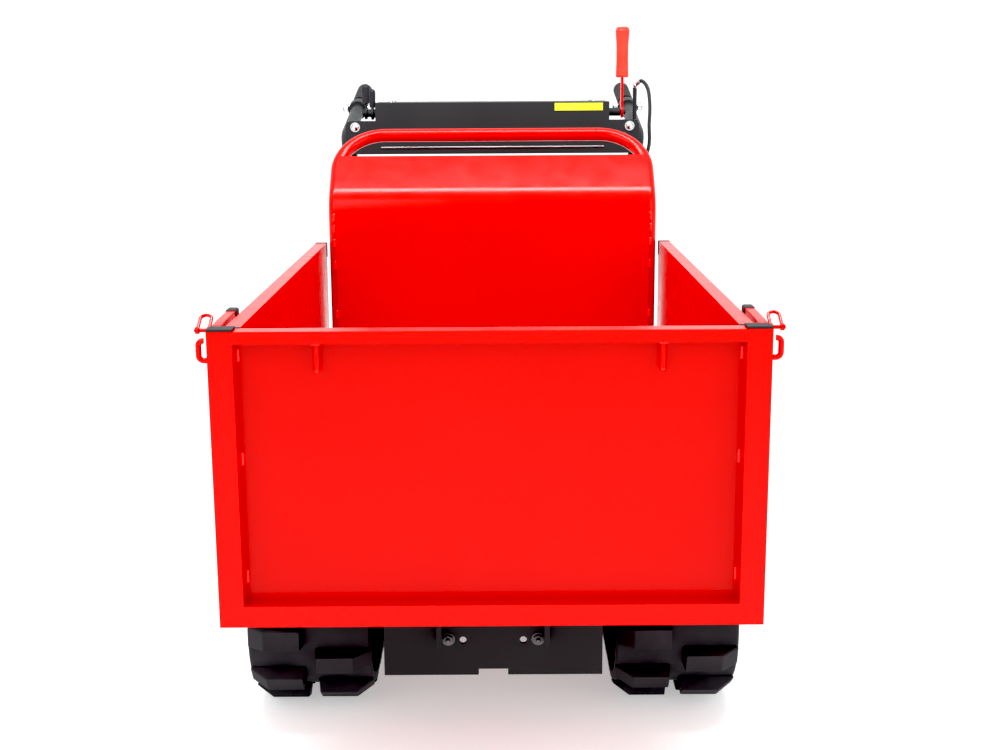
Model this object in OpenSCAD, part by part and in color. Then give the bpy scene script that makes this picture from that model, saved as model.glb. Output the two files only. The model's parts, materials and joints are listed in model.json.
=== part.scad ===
// Tracked power carrier: a drop-side tipping bed on a pair of rubber tracks, pushed along from behind.
// Lengths along the machine are measured rearwards from the front face of the closed gate.

/* [Load bed] */
// Width of the front gate over its posts
gate_w = 675; // [640:1:700]
// Height of the front gate
gate_h = 373; // [330:1:400]
// Height of the gate's lower edge above the ground
gate_z = 265; // [262:1:275]
// Depth of the gate frame, front to back
gate_depth = 25; // [20:1:26]
// Width of a gate post
gate_post = 31; // [25:1:36]
// Height of the gate's top rail
gate_top_rail = 16; // [12:1:22]
// Height of the gate's bottom rail
gate_bottom_rail = 28; // [22:1:34]
// Thickness of the bed's sheet steel
sheet = 3; // [2:0.5:4]
// Width of the bed over the side panels
bed_w = 643; // [630:1:650]
// Length of a side panel
side_len = 885; // [840:1:890]
// Width of a side panel's rail tubes
side_rail_w = 20; // [18:1:24]
// Height of a side panel's rail tubes
side_rail_h = 25; // [20:1:30]
// Height of the bed floor above the ground
floor_z = 305; // [303:1:309]
// Height of the bed's floor beams
beam_h = 30; // [24:1:30]
// Running gap between the gate and the side panels
panel_gap = 3; // [2:0.5:5]

/* [Headboard] */
// Width of the tube hoop over its legs
hoop_w = 590; // [560:1:598]
// Diameter of the hoop tube
hoop_tube = 24; // [20:1:34]
// Distance of the hoop's legs behind the gate's face
hoop_g = 903; // [895:1:905]
// Height at which the headboard bends back
hoop_bend_z = 712; // [690:1:730]
// Angle by which the headboard leans back above the bend
hoop_lean = 45; // [35:1:50]
// Length of the leaning part, from the bend to the middle of the top tube
hoop_reach = 161; // [130:1:175]
// Radius of the hoop's top corners
hoop_corner = 85; // [70:1:95]
// Radius of the backward bend
hoop_bend_r = 55; // [45:1:70]
// Width of the hand slot between the panel and the top tube
hand_slot = 38; // [20:1:45]

/* [Bed pivot] */
// Distance of the tip pivot behind the gate's face
pivot_g = 216; // [210:1:220]
// Height of the tip pivot
pivot_z = 238; // [232:1:240]
// Radius of the tip pivot pin
pivot_r = 9; // [7:0.5:10]
// Half the distance between the chassis ears of the pivot
pivot_ear_x = 72; // [60:1:80]
// Thickness of a pivot ear
pivot_ear_t = 8; // [6:1:10]

/* [Corner latches] */
// Distance of the latch lever's pivot behind the gate's face
latch_g = 52; // [48:1:60]
// Length of the latch lever
latch_len = 100; // [80:1:120]
// Radius of the bail wire
bail_wire = 2.2; // [1.5:0.1:3]
// Length of the bail from its pin
bail_h = 29; // [26:1:30]
// How far the bail leans back when it is unhooked, in degrees
bail_lean = 60; // [40:5:75]
// Radius of the bail's round end at the middle of the wire
bail_arch = 7; // [6:0.5:8]

/* [Tracks] */
// Width over both tracks
tracks_w = 720; // [716:1:740]
// Width of one rubber track
track_w = 180; // [170:1:190]
// Distance of the front of the tracks behind the gate's face
track_front_g = 270; // [266:1:280]
// Radius of the idler and of the sprocket's drum
wheel_r = 94.5; // [90:0.5:96]
// Thickness of the rubber belt
belt_t = 16; // [14:1:18]
// Height of the tread lugs
lug_h = 22; // [16:1:24]
// Number of track links
links = 35; // [34:1:36]
// Number of sprocket teeth
teeth = 10; // [9:1:11]
// Width of the clear channel between the two rows of guide horns
horn_gap = 46; // [45:1:52]
// Height of the guide horns
horn_h = 16; // [12:1:18]
// Width of the wheels that run between the horns
wheel_w = 36; // [30:1:37]
// Radius of a road roller
roller_r = 45; // [40:1:48]
// Radius of a wheel axle
axle_r = 8; // [6:0.5:9]
// Thickness of the track frame's plates
frame_plate = 4; // [3:0.5:6]

/* [Chassis] */
// Gap between a chassis rail and the track beside it
rail_gap = 32; // [30:1:40]
// Width of a chassis rail
rail_w = 30; // [26:1:34]
// Height of a chassis rail
rail_h = 50; // [40:1:54]
// Wall of the chassis tubes
tube_wall = 3; // [2:0.5:4]
// Rear end of the chassis rails
rail_end_g = 1385; // [1370:1:1400]
// How far the front cross plate reaches past each rail
plate_edge = 8; // [4:1:17]
// Height of the front cross plate's lower edge
plate_z = 94; // [88:1:100]
// Thickness of the front cross plate
plate_t = 5; // [4:0.5:8]
// Distance between the two bolt holes in the front plate
plate_hole_span = 86; // [76:1:96]
// Height of the bolt holes in the front plate
plate_hole_z = 147; // [142:1:155]
// Radius of the bolt holes in the front plate
plate_hole_r = 5; // [4:0.5:6]

/* [Engine and drive] */
// Height of the engine deck above the chassis rails
deck_rise = 100; // [96:1:104]
// Distance of the crankshaft behind the gate's face
crank_g = 1126; // [1118:1:1130]
// Height of the crankshaft above the engine deck
crank_rise = 115; // [110:1:120]
// Radius of the engine pulley
engine_pulley_r = 40; // [36:1:44]
// Radius of the gearbox pulley
gearbox_pulley_r = 58; // [52:1:62]
// Distance of the gearbox input shaft behind the gate's face
input_g = 1268; // [1262:1:1274]
// Height of the gearbox input shaft
input_z = 252; // [250:1:256]
// Distance of the belt's middle from the track beside it
belt_gap = 18; // [16:1:20]
// Width of the drive belt
belt_w = 13; // [10:1:14]
// Radius of a half shaft
shaft_r = 14; // [12:0.5:15]

/* [Controls] */
// Distance of the console's face behind the gate's face
console_g = 1170; // [1160:1:1180]
// Height of the console's top edge
console_top = 883; // [876:1:890]
// Height of the console's face
console_h = 100; // [80:1:110]
// Width of the console's raised part
console_w = 460; // [440:1:480]
// Width of the console over its ears
console_ears_w = 578; // [560:1:590]
// Height of the ears' top edge under the console's top edge
ear_drop = 35; // [30:1:40]
// Distance between the middles of the handle tubes
handle_span = 584; // [576:1:600]
// Radius of a handle tube
handle_r = 14; // [12:0.5:15]
// Height of the handle's rear end
handle_end_z = 900; // [885:1:910]
// Radius of the rubber grips
grip_r = 17; // [15.5:0.5:18]
// Length of the rubber grips
grip_len = 130; // [110:1:150]
// Overall length, from the gate's face to the end of the grips
total_len = 1640; // [1600:1:1680]
// Length of the red drive lever, from its pivot to its top
lever_len = 166; // [150:1:180]

/* [Hidden] */
$fn = 48;

// Paints and finishes
red = "#e8160c";
black = "#26262b";
rubber = "#1d1c20";
steel = "#9aa0a6";
alloy = "#b9bcbf";
grip_red = "#d8352c";

// Radial play of a pin or shaft in its bore
play = 0.05;
// Gap between parts that pass close by one another
clear = 0.5;

// Heights and places that follow from the driving sizes
gate_top = gate_z + gate_h;
side_g0 = gate_depth + panel_gap;
side_g1 = side_g0 + side_len;
side_out = bed_w / 2;
side_in = side_out - side_rail_w;
side_z0 = floor_z - 9;
beam_z0 = floor_z - sheet - beam_h;
hinge_r = 8;
hinge_pin_r = 4;
gate_axis_g = gate_depth + 14;
gate_axis_z = gate_z - 5;
side_axis_x = side_out - 6;
side_axis_z = side_z0 - hinge_r - clear;
gate_hinges = [-219, 219];
side_hinges = [150, 470, 790];
hinge_len = 44;
knuckle = 18;

// The track is a loop round two equal wheels
track_x = (tracks_w - track_w) / 2;
track_in = track_x - track_w / 2;
loop_r = wheel_r + clear;
pitch_r = loop_r + belt_t / 2;
link = 2 * PI * pitch_r / teeth;
wheel_base = (links - teeth) * link / 2;
wheel_z = loop_r + belt_t + lug_h;
idler_g = track_front_g + wheel_z;
sprocket_g = idler_g + wheel_base;
roller_z = belt_t + lug_h + clear + roller_r;
roller_gs = [for (i = [1:3]) idler_g + wheel_base * i / 4];
frame_in = wheel_w / 2 + 6;
frame_z0 = belt_t + lug_h + horn_h + 8;
frame_z1 = wheel_z + 17;

// The rails, the plate and the belt lie between the tracks
rail_span = 2 * (track_in - rail_gap) - rail_w;
plate_w = rail_span + rail_w + 2 * plate_edge;
belt_x = track_in - belt_gap;
rail_z0 = frame_z1;
rail_z1 = rail_z0 + rail_h;
deck_z = rail_z1 + deck_rise;
deck_t = 5;
crank_z = deck_z + crank_rise;
plate_g = pivot_g + 24;

// The right handle's path: up from the chassis, then back to the grip
handle_x = handle_span / 2;
handle_foot = [rail_span / 2, rail_end_g - 20, rail_z1 + 8];
handle_mid = [206, rail_end_g - 13, 430];
knee_drop = 78;
handle_knee = [handle_x, console_g + 12, console_top - knee_drop];
handle_end = [handle_x, total_len, handle_end_z];
handle_dir = (handle_end - handle_knee) / norm(handle_end - handle_knee);
handle_tilt = asin(handle_dir.z);

function unit(v) = v / norm(v);
function square_to(d) = unit(cross(d, abs(d.z) > 0.9 ? [1, 0, 0] : [0, 0, 1]));

// Moves a piece from lengths behind the gate's face into the part's frame
module from_gate() translate([0, -total_len / 2, 0]) children();

// The same for the engine and its drive, which are drawn with the belt on the left and fitted with it on
// the right
module from_gate_drive() from_gate() mirror([1, 0, 0]) children();

// Puts children on the right (1) or the left (-1) side of the machine
module on_side(s) mirror([s < 0 ? 1 : 0, 0, 0]) children();

module both_sides() for (s = [-1, 1]) on_side(s) children();

module block(x, g, z) translate([x[0], g[0], z[0]]) cube([x[1] - x[0], g[1] - g[0], z[1] - z[0]]);

module rod_x(r, x, g, z) translate([x[0], g, z]) rotate([0, 90, 0]) cylinder(h = x[1] - x[0], r = r);

module rod_y(r, x, g, z) translate([x, g[0], z]) rotate([-90, 0, 0]) cylinder(h = g[1] - g[0], r = r);

module rod_z(r, x, g, z) translate([x, g, z[0]]) cylinder(h = z[1] - z[0], r = r);

// A flat outline in the length-height plane, extruded across the machine
module slab_x(x) translate([x[0], 0, 0]) rotate([90, 0, 90]) linear_extrude(x[1] - x[0]) children();

// Local axes x, y and z placed at a point
module axes(x, y, z, at) multmatrix([
    [x.x, y.x, z.x, at.x],
    [x.y, y.y, z.y, at.y],
    [x.z, y.z, z.z, at.z],
    [0, 0, 0, 1]]) children();

module rod(a, b, r) {
    d = unit(b - a);
    n = square_to(d);
    axes(n, cross(d, n), d, a) cylinder(h = norm(b - a), r = r);
}

// How much of a straight run the bend at a corner takes up. R is one radius, or one for each point.
function turn(p, i) = acos(unit(p[i] - p[i - 1]) * unit(p[i + 1] - p[i]));
function bend_at(R, i) = is_list(R) ? R[i] : R;
function setback(p, i, R) = i == 0 || i == len(p) - 1 ? 0 : bend_at(R, i) * tan(turn(p, i) / 2);

// A round bar along straight runs joined by bends of radius R. A bend is a hair slimmer than the runs and
// reaches a little way into them.
bend_shrink = 0.05;
bend_lap = 0.3;
module elbow(angle, r, R) {
    lap = bend_lap / R * 180 / PI;
    rotate(-lap) rotate_extrude(angle = angle + 2 * lap) translate([R, 0]) circle(r - bend_shrink);
}
module bent_rod(p, r, R) {
    for (i = [0:len(p) - 2]) {
        d = unit(p[i + 1] - p[i]);
        rod(p[i] + d * setback(p, i, R), p[i + 1] - d * setback(p, i + 1, R), r);
    }
    for (i = [1:len(p) - 2]) {
        d = unit(p[i] - p[i - 1]);
        e = unit(p[i + 1] - p[i]);
        n = unit(e - (d * e) * d);
        axes(-n, d, cross(-n, d), p[i] - d * setback(p, i, R) + n * bend_at(R, i))
            elbow(turn(p, i), r, bend_at(R, i));
    }
}

// A round tube of many short rings along a smooth curve through points chosen by hand
cable_r = 3.5;
cable_sides = 8;
cable_steps = 3;
function spline(p, i, t) = let (a = p[max(i - 1, 0)], b = p[i], c = p[i + 1], d = p[min(i + 2, len(p) - 1)])
    0.5 * (2 * b + (c - a) * t + (2 * a - 5 * b + 4 * c - d) * t ^ 2 + (3 * b - a - 3 * c + d) * t ^ 3);
function smooth(p) = [
    for (i = [0:len(p) - 2], k = [0:cable_steps - 1]) spline(p, i, k / cable_steps), p[len(p) - 1]];
module cable(points) {
    path = smooth(points);
    last = len(path) - 1;
    rings = [for (i = [0:last]) let (
        d = unit(path[min(i + 1, last)] - path[max(i - 1, 0)]), n = square_to(d), b = cross(d, n))
        for (k = [0:cable_sides - 1]) let (a = 360 * k / cable_sides)
            path[i] + cable_r * (cos(a) * n + sin(a) * b)];
    wall = [for (i = [0:last - 1], k = [0:cable_sides - 1]) let (
        a = i * cable_sides, b = a + cable_sides, m = (k + 1) % cable_sides)
        each [[a + k, b + k, b + m], [a + k, b + m, a + m]]];
    ends = [
        for (k = [1:cable_sides - 2]) [0, k, k + 1],
        for (k = [1:cable_sides - 2]) let (a = last * cable_sides) [a, a + k + 1, a + k]];
    polyhedron(rings, concat(wall, ends), convexity = 6);
}

// Chassis

module chassis_rails() color(black) from_gate() both_sides() difference() {
    x = (rail_span - rail_w) / 2;
    block([x, x + rail_w], [plate_g + plate_t, rail_end_g], [rail_z0, rail_z1]);
    block([x + tube_wall, x + rail_w - tube_wall], [plate_g, rail_end_g + 1],
        [rail_z0 + tube_wall, rail_z1 - tube_wall]);
}

// The front plate folds back along its lower edge, has a shallow notch, two bolt holes and the pivot ears
plate_flange = 14;
notch_w = 42;
notch_h = 9;
ear_r = pivot_r + 9;
module front_plate() color(black) from_gate() difference() {
    union() {
        block([-plate_w / 2, plate_w / 2], [plate_g, plate_g + plate_t], [plate_z, rail_z1 + 8]);
        block([-plate_w / 2, plate_w / 2], [plate_g, plate_g + plate_flange], [plate_z, plate_z + plate_t]);
        both_sides() block([pivot_ear_x, pivot_ear_x + pivot_ear_t], [pivot_g, plate_g + 1],
            [plate_hole_z, pivot_z + ear_r]);
        both_sides() rod_x(ear_r, [pivot_ear_x, pivot_ear_x + pivot_ear_t], pivot_g, pivot_z);
    }
    block([-notch_w / 2, notch_w / 2], [plate_g - 1, plate_g + plate_flange + 1],
        [plate_z - 1, plate_z + notch_h]);
    both_sides() rod_y(plate_hole_r, plate_hole_span / 2, [plate_g - 1, plate_g + plate_t + 1], plate_hole_z);
    both_sides() rod_x(pivot_r + play, [pivot_ear_x - 1, pivot_ear_x + pivot_ear_t + 1], pivot_g, pivot_z);
}

// The cross tubes carry the track frames and lie under the rails
cross_w = 40;
module cross_tubes() color(black) from_gate() for (g = [roller_gs[0], roller_gs[2]] - [60, 60]) difference() {
    end = track_x - frame_in - frame_plate;
    block([-end, end], [g - cross_w / 2, g + cross_w / 2], [rail_z0 - cross_w, rail_z0]);
    block([-end - 1, end + 1], [g - cross_w / 2 + tube_wall, g + cross_w / 2 - tube_wall],
        [rail_z0 - cross_w + tube_wall, rail_z0 - tube_wall]);
}

// The deck stands on four legs over the rails and stops short of the belt
deck_g = [938, 1306];
deck_left = belt_x - belt_w / 2 - 9;
deck_right = 172;
leg = 24;
module engine_deck() color(black) from_gate_drive() {
    block([-deck_left, deck_right], deck_g, [deck_z - deck_t, deck_z]);
    both_sides() for (g = [deck_g[0] + 20, 1070])
        block([rail_span / 2 - leg / 2, rail_span / 2 + leg / 2], [g, g + leg], [rail_z1, deck_z - deck_t]);
    both_sides() block([rail_span / 2 - leg / 2, rail_span / 2 + 1], [deck_g[1] - leg, deck_g[1]],
        [rail_z1, deck_z - deck_t]);
}

module tip_pivot_pin() color(steel) from_gate() {
    end = pivot_ear_x + 2 * pivot_ear_t + 8;
    rod_x(pivot_r, [-end, end], pivot_g, pivot_z);
}

// Rubber blocks on posts hold up the rear of the bed
buffer_g = 850;
buffer_r = 16;
module bed_buffers() color(rubber) from_gate() both_sides()
    rod_z(buffer_r, rail_span / 2, buffer_g, [rail_z1, beam_z0 - 0.3]);

// Running gear

frame_g = [idler_g + wheel_r + 11, sprocket_g - wheel_r - 14];
nut_g = [frame_g[0] + 57, frame_g[0] + 65];
module track_frame(s) from_gate() on_side(s) difference() {
    union() {
        for (e = [-1, 1]) translate([track_x + e * (frame_in + frame_plate / 2), 0, 0])
            block([-frame_plate / 2, frame_plate / 2], frame_g, [frame_z0, frame_z1]);
        block([track_x - frame_in - 1, track_x + frame_in + 1], frame_g, [frame_z1 - frame_plate, frame_z1]);
        block([track_x - frame_in - 1, track_x + frame_in + 1], nut_g, [wheel_z - 15, frame_z1 - 1]);
    }
    for (r = roller_gs)
        rod_x(axle_r + play, [track_x - frame_in - 9, track_x + frame_in + 9], r, roller_z);
    rod_y(tension_r + play, track_x, [nut_g[0] - 1, nut_g[1] + 1], wheel_z);
}
module left_track_frame() color(black) track_frame(-1);
module right_track_frame() color(black) track_frame(1);

// A yoke holds the idler's axle, slides in the frame and is pushed forward by a tension bolt
tension_r = 6;
module idler_yokes() color(steel) from_gate() both_sides() difference() {
    arm = [wheel_w / 2 + 1.2, frame_in - 0.3];
    z = [wheel_z - 14, wheel_z + 10];
    end = frame_g[0] + 47;
    union() {
        for (e = [-1, 1]) translate([track_x, 0, 0]) mirror([e < 0 ? 1 : 0, 0, 0]) {
            block(arm, [idler_g, end], z);
            rod_x(16, arm, idler_g, wheel_z);
        }
        block([track_x - arm[0] - 1, track_x + arm[0] + 1], [end - 18, end], z);
        rod_y(tension_r, track_x, [end - 2, nut_g[1] + 4], wheel_z);
    }
    rod_x(axle_r + play, [track_x - frame_in - 1, track_x + frame_in + 1], idler_g, wheel_z);
}

// Bolts through the frame and the yoke, on which the rollers and the idlers turn
axle_head = 4;
module axle(half, g, z) {
    rod_x(axle_r, [track_x - half, track_x + half], g, z);
    for (e = [-1, 1]) translate([track_x + e * (half + axle_head / 2), g, z]) rotate([0, 90, 0])
        cylinder(h = axle_head, r = axle_r + 5, $fn = 6, center = true);
}
module wheel_axles() color(steel) from_gate() both_sides() {
    for (g = roller_gs) axle(frame_in + frame_plate, g, roller_z);
    axle(frame_in - 0.3, idler_g, wheel_z);
}

// Turned wheels: a half section spun round the axle, drawn as radius and place across the wheel
module turned_x(x, g, z) translate([x, g, z]) rotate([0, 90, 0]) rotate_extrude() children();

module idler(s) from_gate() turned_x(s * track_x, idler_g, wheel_z) {
    bore = axle_r + play;
    h = wheel_w / 2;
    polygon([[bore, -h], [26, -h], [30, -9], [70, -9], [76, -h], [wheel_r - 2, -h], [wheel_r, -h + 2],
        [wheel_r, h - 2], [wheel_r - 2, h], [76, h], [70, 9], [30, 9], [26, h], [bore, h]]);
}
module left_idler() color(steel) idler(-1);
module right_idler() color(steel) idler(1);

module road_roller(s, i) from_gate() turned_x(s * track_x, roller_gs[i], roller_z) {
    bore = axle_r + play;
    h = wheel_w / 2;
    hub = frame_in - 0.4;
    polygon([[bore, -hub], [15, -hub], [17, -h + 5], [roller_r - 10, -h + 5], [roller_r - 7, -h],
        [roller_r - 1.5, -h], [roller_r, -h + 1.5], [roller_r, h - 1.5], [roller_r - 1.5, h],
        [roller_r - 7, h], [roller_r - 10, h - 5], [17, h - 5], [15, hub], [bore, hub]]);
}
module left_roller_1() color(steel) road_roller(-1, 0);
module left_roller_2() color(steel) road_roller(-1, 1);
module left_roller_3() color(steel) road_roller(-1, 2);
module right_roller_1() color(steel) road_roller(1, 0);
module right_roller_2() color(steel) road_roller(1, 1);
module right_roller_3() color(steel) road_roller(1, 2);

// The teeth stand out of the drum into the channel along the middle of the belt
tooth_h = 7;
tooth_w = 24;
channel_h = tooth_h + 1.5;
spokes = 5;
module sprocket(s) from_gate() on_side(s) {
    difference() {
        turned_x(track_x, sprocket_g, wheel_z) {
            h = wheel_w / 2;
            polygon([[0, -h - 3], [34, -h - 3], [38, -7], [70, -7], [76, -h], [wheel_r, -h],
                [wheel_r, h], [76, h], [70, 7], [38, 7], [34, h + 3], [0, h + 3]]);
        }
        for (k = [0:spokes - 1]) translate([track_x, sprocket_g, wheel_z]) rotate([360 / spokes * k, 0, 0])
            rod_x(12, [-12, 12], 54, 0);
    }
    for (k = [0:teeth - 1]) translate([track_x, sprocket_g, wheel_z]) rotate([360 / teeth * k, 0, 0])
        slab_x([-tooth_w / 2, tooth_w / 2])
            polygon([[-13, wheel_r - 4], [13, wheel_r - 4], [6, wheel_r + tooth_h], [-6, wheel_r + tooth_h]]);
    rod_x(shaft_r, [gearbox_half + clear, track_x - wheel_w / 2 - 2], sprocket_g, wheel_z);
}
module left_sprocket() color(steel) sprocket(-1);
module right_sprocket() color(steel) sprocket(1);

bearing_x = rail_span / 2;
module shaft_bearings() color(black) from_gate() both_sides() difference() {
    union() {
        block([bearing_x - 9, bearing_x + 9], [sprocket_g - 34, sprocket_g + 34], [wheel_z, rail_z0]);
        rod_x(30, [bearing_x - 9, bearing_x + 9], sprocket_g, wheel_z);
    }
    rod_x(shaft_r + play, [bearing_x - 10, bearing_x + 10], sprocket_g, wheel_z);
    block([bearing_x - 10, bearing_x + 10], [sprocket_g - 40, sprocket_g + 40], [rail_z0, rail_z0 + 40]);
}

// The loop's outline at a distance from the wheels
module loop(d) {
    for (g = [idler_g, sprocket_g]) translate([g, wheel_z]) circle(loop_r + d);
    translate([idler_g, wheel_z - loop_r - d]) square([wheel_base, 2 * (loop_r + d)]);
}

// Places children at a length along the loop, with +z pointing out of it and x across the machine
arc_len = PI * pitch_r;
module at_link(n) {
    s = n * link;
    if (s < wheel_base)
        translate([0, idler_g + s, wheel_z + loop_r]) children();
    else if (s < wheel_base + arc_len)
        translate([0, sprocket_g, wheel_z]) rotate([-180 * (s - wheel_base) / arc_len, 0, 0])
            translate([0, 0, loop_r]) children();
    else if (s < 2 * wheel_base + arc_len)
        translate([0, sprocket_g - (s - wheel_base - arc_len), wheel_z - loop_r])
            rotate([180, 0, 0]) children();
    else
        translate([0, idler_g, wheel_z]) rotate([-180 - 180 * (s - 2 * wheel_base - arc_len) / arc_len, 0, 0])
            translate([0, 0, loop_r]) children();
}

// Each link has a tapered tread lug on either half of the belt, half a link apart, and two guide horns
lug_len = 30;
lug_in = 8;
lug_taper = 26;
lug_sink = 3;
module lug() translate([0, lug_len / 2, 0]) rotate([90, 0, 0]) linear_extrude(lug_len) polygon([
    [lug_in, belt_t - lug_sink], [track_w / 2, belt_t - lug_sink], [track_w / 2, belt_t + 3],
    [track_w / 2 - lug_taper, belt_t + lug_h], [lug_in + 3, belt_t + lug_h]]);
horn_w = 16;
module horn() translate([0, 9, 0]) rotate([90, 0, 0]) linear_extrude(18) polygon([
    [horn_gap / 2, lug_sink], [horn_gap / 2 + horn_w, lug_sink],
    [horn_gap / 2 + horn_w - 4, -horn_h], [horn_gap / 2 + 2, -horn_h]]);
module track(s) from_gate() translate([s * track_x, 0, 0]) {
    difference() {
        slab_x([-track_w / 2, track_w / 2]) difference() {
            loop(belt_t);
            loop(0);
        }
        slab_x([-tooth_w / 2 - 3, tooth_w / 2 + 3]) difference() {
            loop(channel_h);
            loop(-1);
        }
    }
    for (n = [0:links - 1]) {
        at_link(n) lug();
        at_link(n + 0.5) mirror([1, 0, 0]) lug();
        at_link(n) horn();
        at_link(n) mirror([1, 0, 0]) horn();
    }
}
module left_track() color(rubber) track(-1);
module right_track() color(rubber) track(1);

// Engine and drive

// The gearbox hangs between the rails on four lugs
gearbox_lug = 34;
gearbox_half = (rail_span - rail_w) / 2 - gearbox_lug;
module gearbox() color(alloy) from_gate_drive() difference() {
    union() {
        slab_x([-gearbox_half + 8, gearbox_half - 8]) polygon([
            [sprocket_g - 72, wheel_z - 44], [sprocket_g + 72, wheel_z - 44], [sprocket_g + 92, wheel_z],
            [input_g + 44, input_z], [input_g + 24, input_z + 36], [input_g - 30, input_z + 36],
            [sprocket_g - 92, wheel_z + 20]]);
        rod_x(40, [-gearbox_half, gearbox_half], sprocket_g, wheel_z);
        rod_x(30, [-rail_span / 2 + rail_w / 2, gearbox_half - 4], input_g, input_z);
        both_sides() block([gearbox_half - 12, rail_span / 2 - rail_w / 2], [sprocket_g - 60, sprocket_g - 36],
            [rail_z0 + 6, rail_z1 - 6]);
        both_sides() block([gearbox_half - 12, rail_span / 2 - rail_w / 2], [sprocket_g + 40, sprocket_g + 64],
            [rail_z0 + 6, rail_z1 - 6]);
    }
    rod_x(12.3, [-rail_span / 2, -gearbox_half + 20], input_g, input_z);
}

// A grooved pulley with a web, drawn as radius and place across the wheel
module pulley(r, bore) {
    w = belt_w / 2 + 3;
    polygon([[bore, -w], [r, -w], [r - groove, -3], [r - groove, 3], [r, w], [bore, w]]);
}

input_shaft_r = 12;
module gearbox_pulley() color(steel) from_gate_drive() {
    turned_x(-belt_x, input_g, input_z) pulley(gearbox_pulley_r, 0);
    rod_x(input_shaft_r, [-belt_x, -gearbox_half + 19], input_g, input_z);
}

crank_r = 11;
case_r = 86;
crank_half = 96;
module engine_pulley() color(steel) from_gate_drive() {
    turned_x(-belt_x, crank_g, crank_z) pulley(engine_pulley_r, 0);
    rod_x(crank_r, [-belt_x, -crank_half + 27.5], crank_g, crank_z);
}

// The belt runs round both pulleys, just clear of their grooves
belt_clear = 0.6;
belt_deep = 7;
groove = 9;
belt_slack = belt_clear - groove;
crank_at = [crank_g, crank_z];
input_at = [input_g, input_z];
belt_span = norm(input_at - crank_at);
belt_dir = (input_at - crank_at) / belt_span;
belt_out = [-belt_dir.y, belt_dir.x];
module belt_loop(d) hull() {
    translate(crank_at) circle(engine_pulley_r + belt_slack + d, $fn = 96);
    translate(input_at) circle(gearbox_pulley_r + belt_slack + d, $fn = 96);
}
module drive_belt() color(rubber) from_gate_drive() slab_x([-belt_x - 3, -belt_x + 3]) difference() {
    belt_loop(belt_deep);
    belt_loop(0);
}

// The jockey wheel hangs clear of the belt's rear run and swings in to tighten it
jockey_r = 20;
jockey_free = 9;
jockey_part = 0.45;
tension_arm = 62;
belt_run = belt_deep + belt_slack + engine_pulley_r + jockey_part * (gearbox_pulley_r - engine_pulley_r);
jockey_at = crank_at + jockey_part * belt_span * belt_dir + (belt_run + jockey_r + jockey_free) * belt_out;
tension_at = jockey_at + tension_arm * belt_dir;
tension_pin_r = 6;
pin_block = 14;
arm_x = [-belt_x + 9, -belt_x + 14];
module tensioner_arm() color(steel) from_gate_drive() difference() {
    union() {
        slab_x(arm_x) {
            translate(tension_at) circle(13);
            translate(jockey_at) circle(11);
            polygon([tension_at + 9 * belt_out, tension_at - 9 * belt_out,
                jockey_at - 8 * belt_out, jockey_at + 8 * belt_out]);
        }
        rod_x(6, [-belt_x - 8, -belt_x + 10], jockey_at.x, jockey_at.y);
        rod_x(jockey_r, [-belt_x - 7, -belt_x + 7], jockey_at.x, jockey_at.y);
    }
    rod_x(tension_pin_r + play, [arm_x[0] - 1, arm_x[1] + 1], tension_at.x, tension_at.y);
}

// The cover is a shell over the outside of the belt. It stands on the deck and carries the tensioner's pin.
cover_wall = 2;
cover_x = [-belt_x - belt_w / 2 - 8, -belt_x + belt_w / 2 + 6];
module cover_outline(d) hull() {
    translate(crank_at) circle(engine_pulley_r + 20 + d);
    translate(input_at) circle(gearbox_pulley_r + 20 + d);
    translate(jockey_at) circle(jockey_r + 10 + d);
    translate(tension_at) circle(20 + d);
}
module belt_cover() color(red) from_gate_drive() {
    difference() {
        slab_x(cover_x) cover_outline(0);
        slab_x([cover_x[0] + cover_wall, cover_x[1] + 1]) cover_outline(-cover_wall);
    }
    rod_x(tension_pin_r, [cover_x[0] + 1, -belt_x + 20], tension_at.x, tension_at.y);
    block([arm_x[1] + 0.4, -belt_x + 20], [tension_at.x - pin_block, tension_at.x + pin_block],
        [tension_at.y - pin_block, tension_at.y + pin_block]);
    block([cover_x[1] - 2, cover_x[1] + 9], [crank_g - 4, crank_g + 44], [deck_z, deck_z + 3]);
}

// The crankcase stands on the deck with a flange at its foot
module crankcase() color(alloy) from_gate_drive() difference() {
    union() {
        slab_x([-crank_half, crank_half]) {
            translate([crank_g, crank_z]) circle(case_r);
            polygon([[crank_g - 100, deck_z + 12], [crank_g + 110, deck_z + 12],
                [crank_g + 92, crank_z + 40], [crank_g - 60, crank_z + 60], [crank_g - 92, crank_z]]);
        }
        block([-crank_half - 8, crank_half + 8], [crank_g - 110, crank_g + 118], [deck_z, deck_z + 14]);
        rod_x(34, [-crank_half - 10, 0], crank_g, crank_z);
    }
    rod_x(crank_r + play, [-crank_half - 11, -crank_half + 28], crank_g, crank_z);
}

// The cylinder leans forward, with cooling fins and a head
cylinder_lean = 25;
fins = 9;
fin_step = 11;
module cylinder_block() color(alloy) from_gate_drive()
    translate([10, crank_g, crank_z]) rotate([90 - cylinder_lean, 0, 0]) translate([0, 0, case_r + 0.3]) {
        translate([-40, -40, 0]) cube([80, 80, fins * fin_step]);
        for (k = [0:fins - 1]) translate([-62, -60, k * fin_step + 4]) cube([124, 120, 4]);
        translate([-56, -54, fins * fin_step - 1]) cube([112, 108, 20]);
    }

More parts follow.
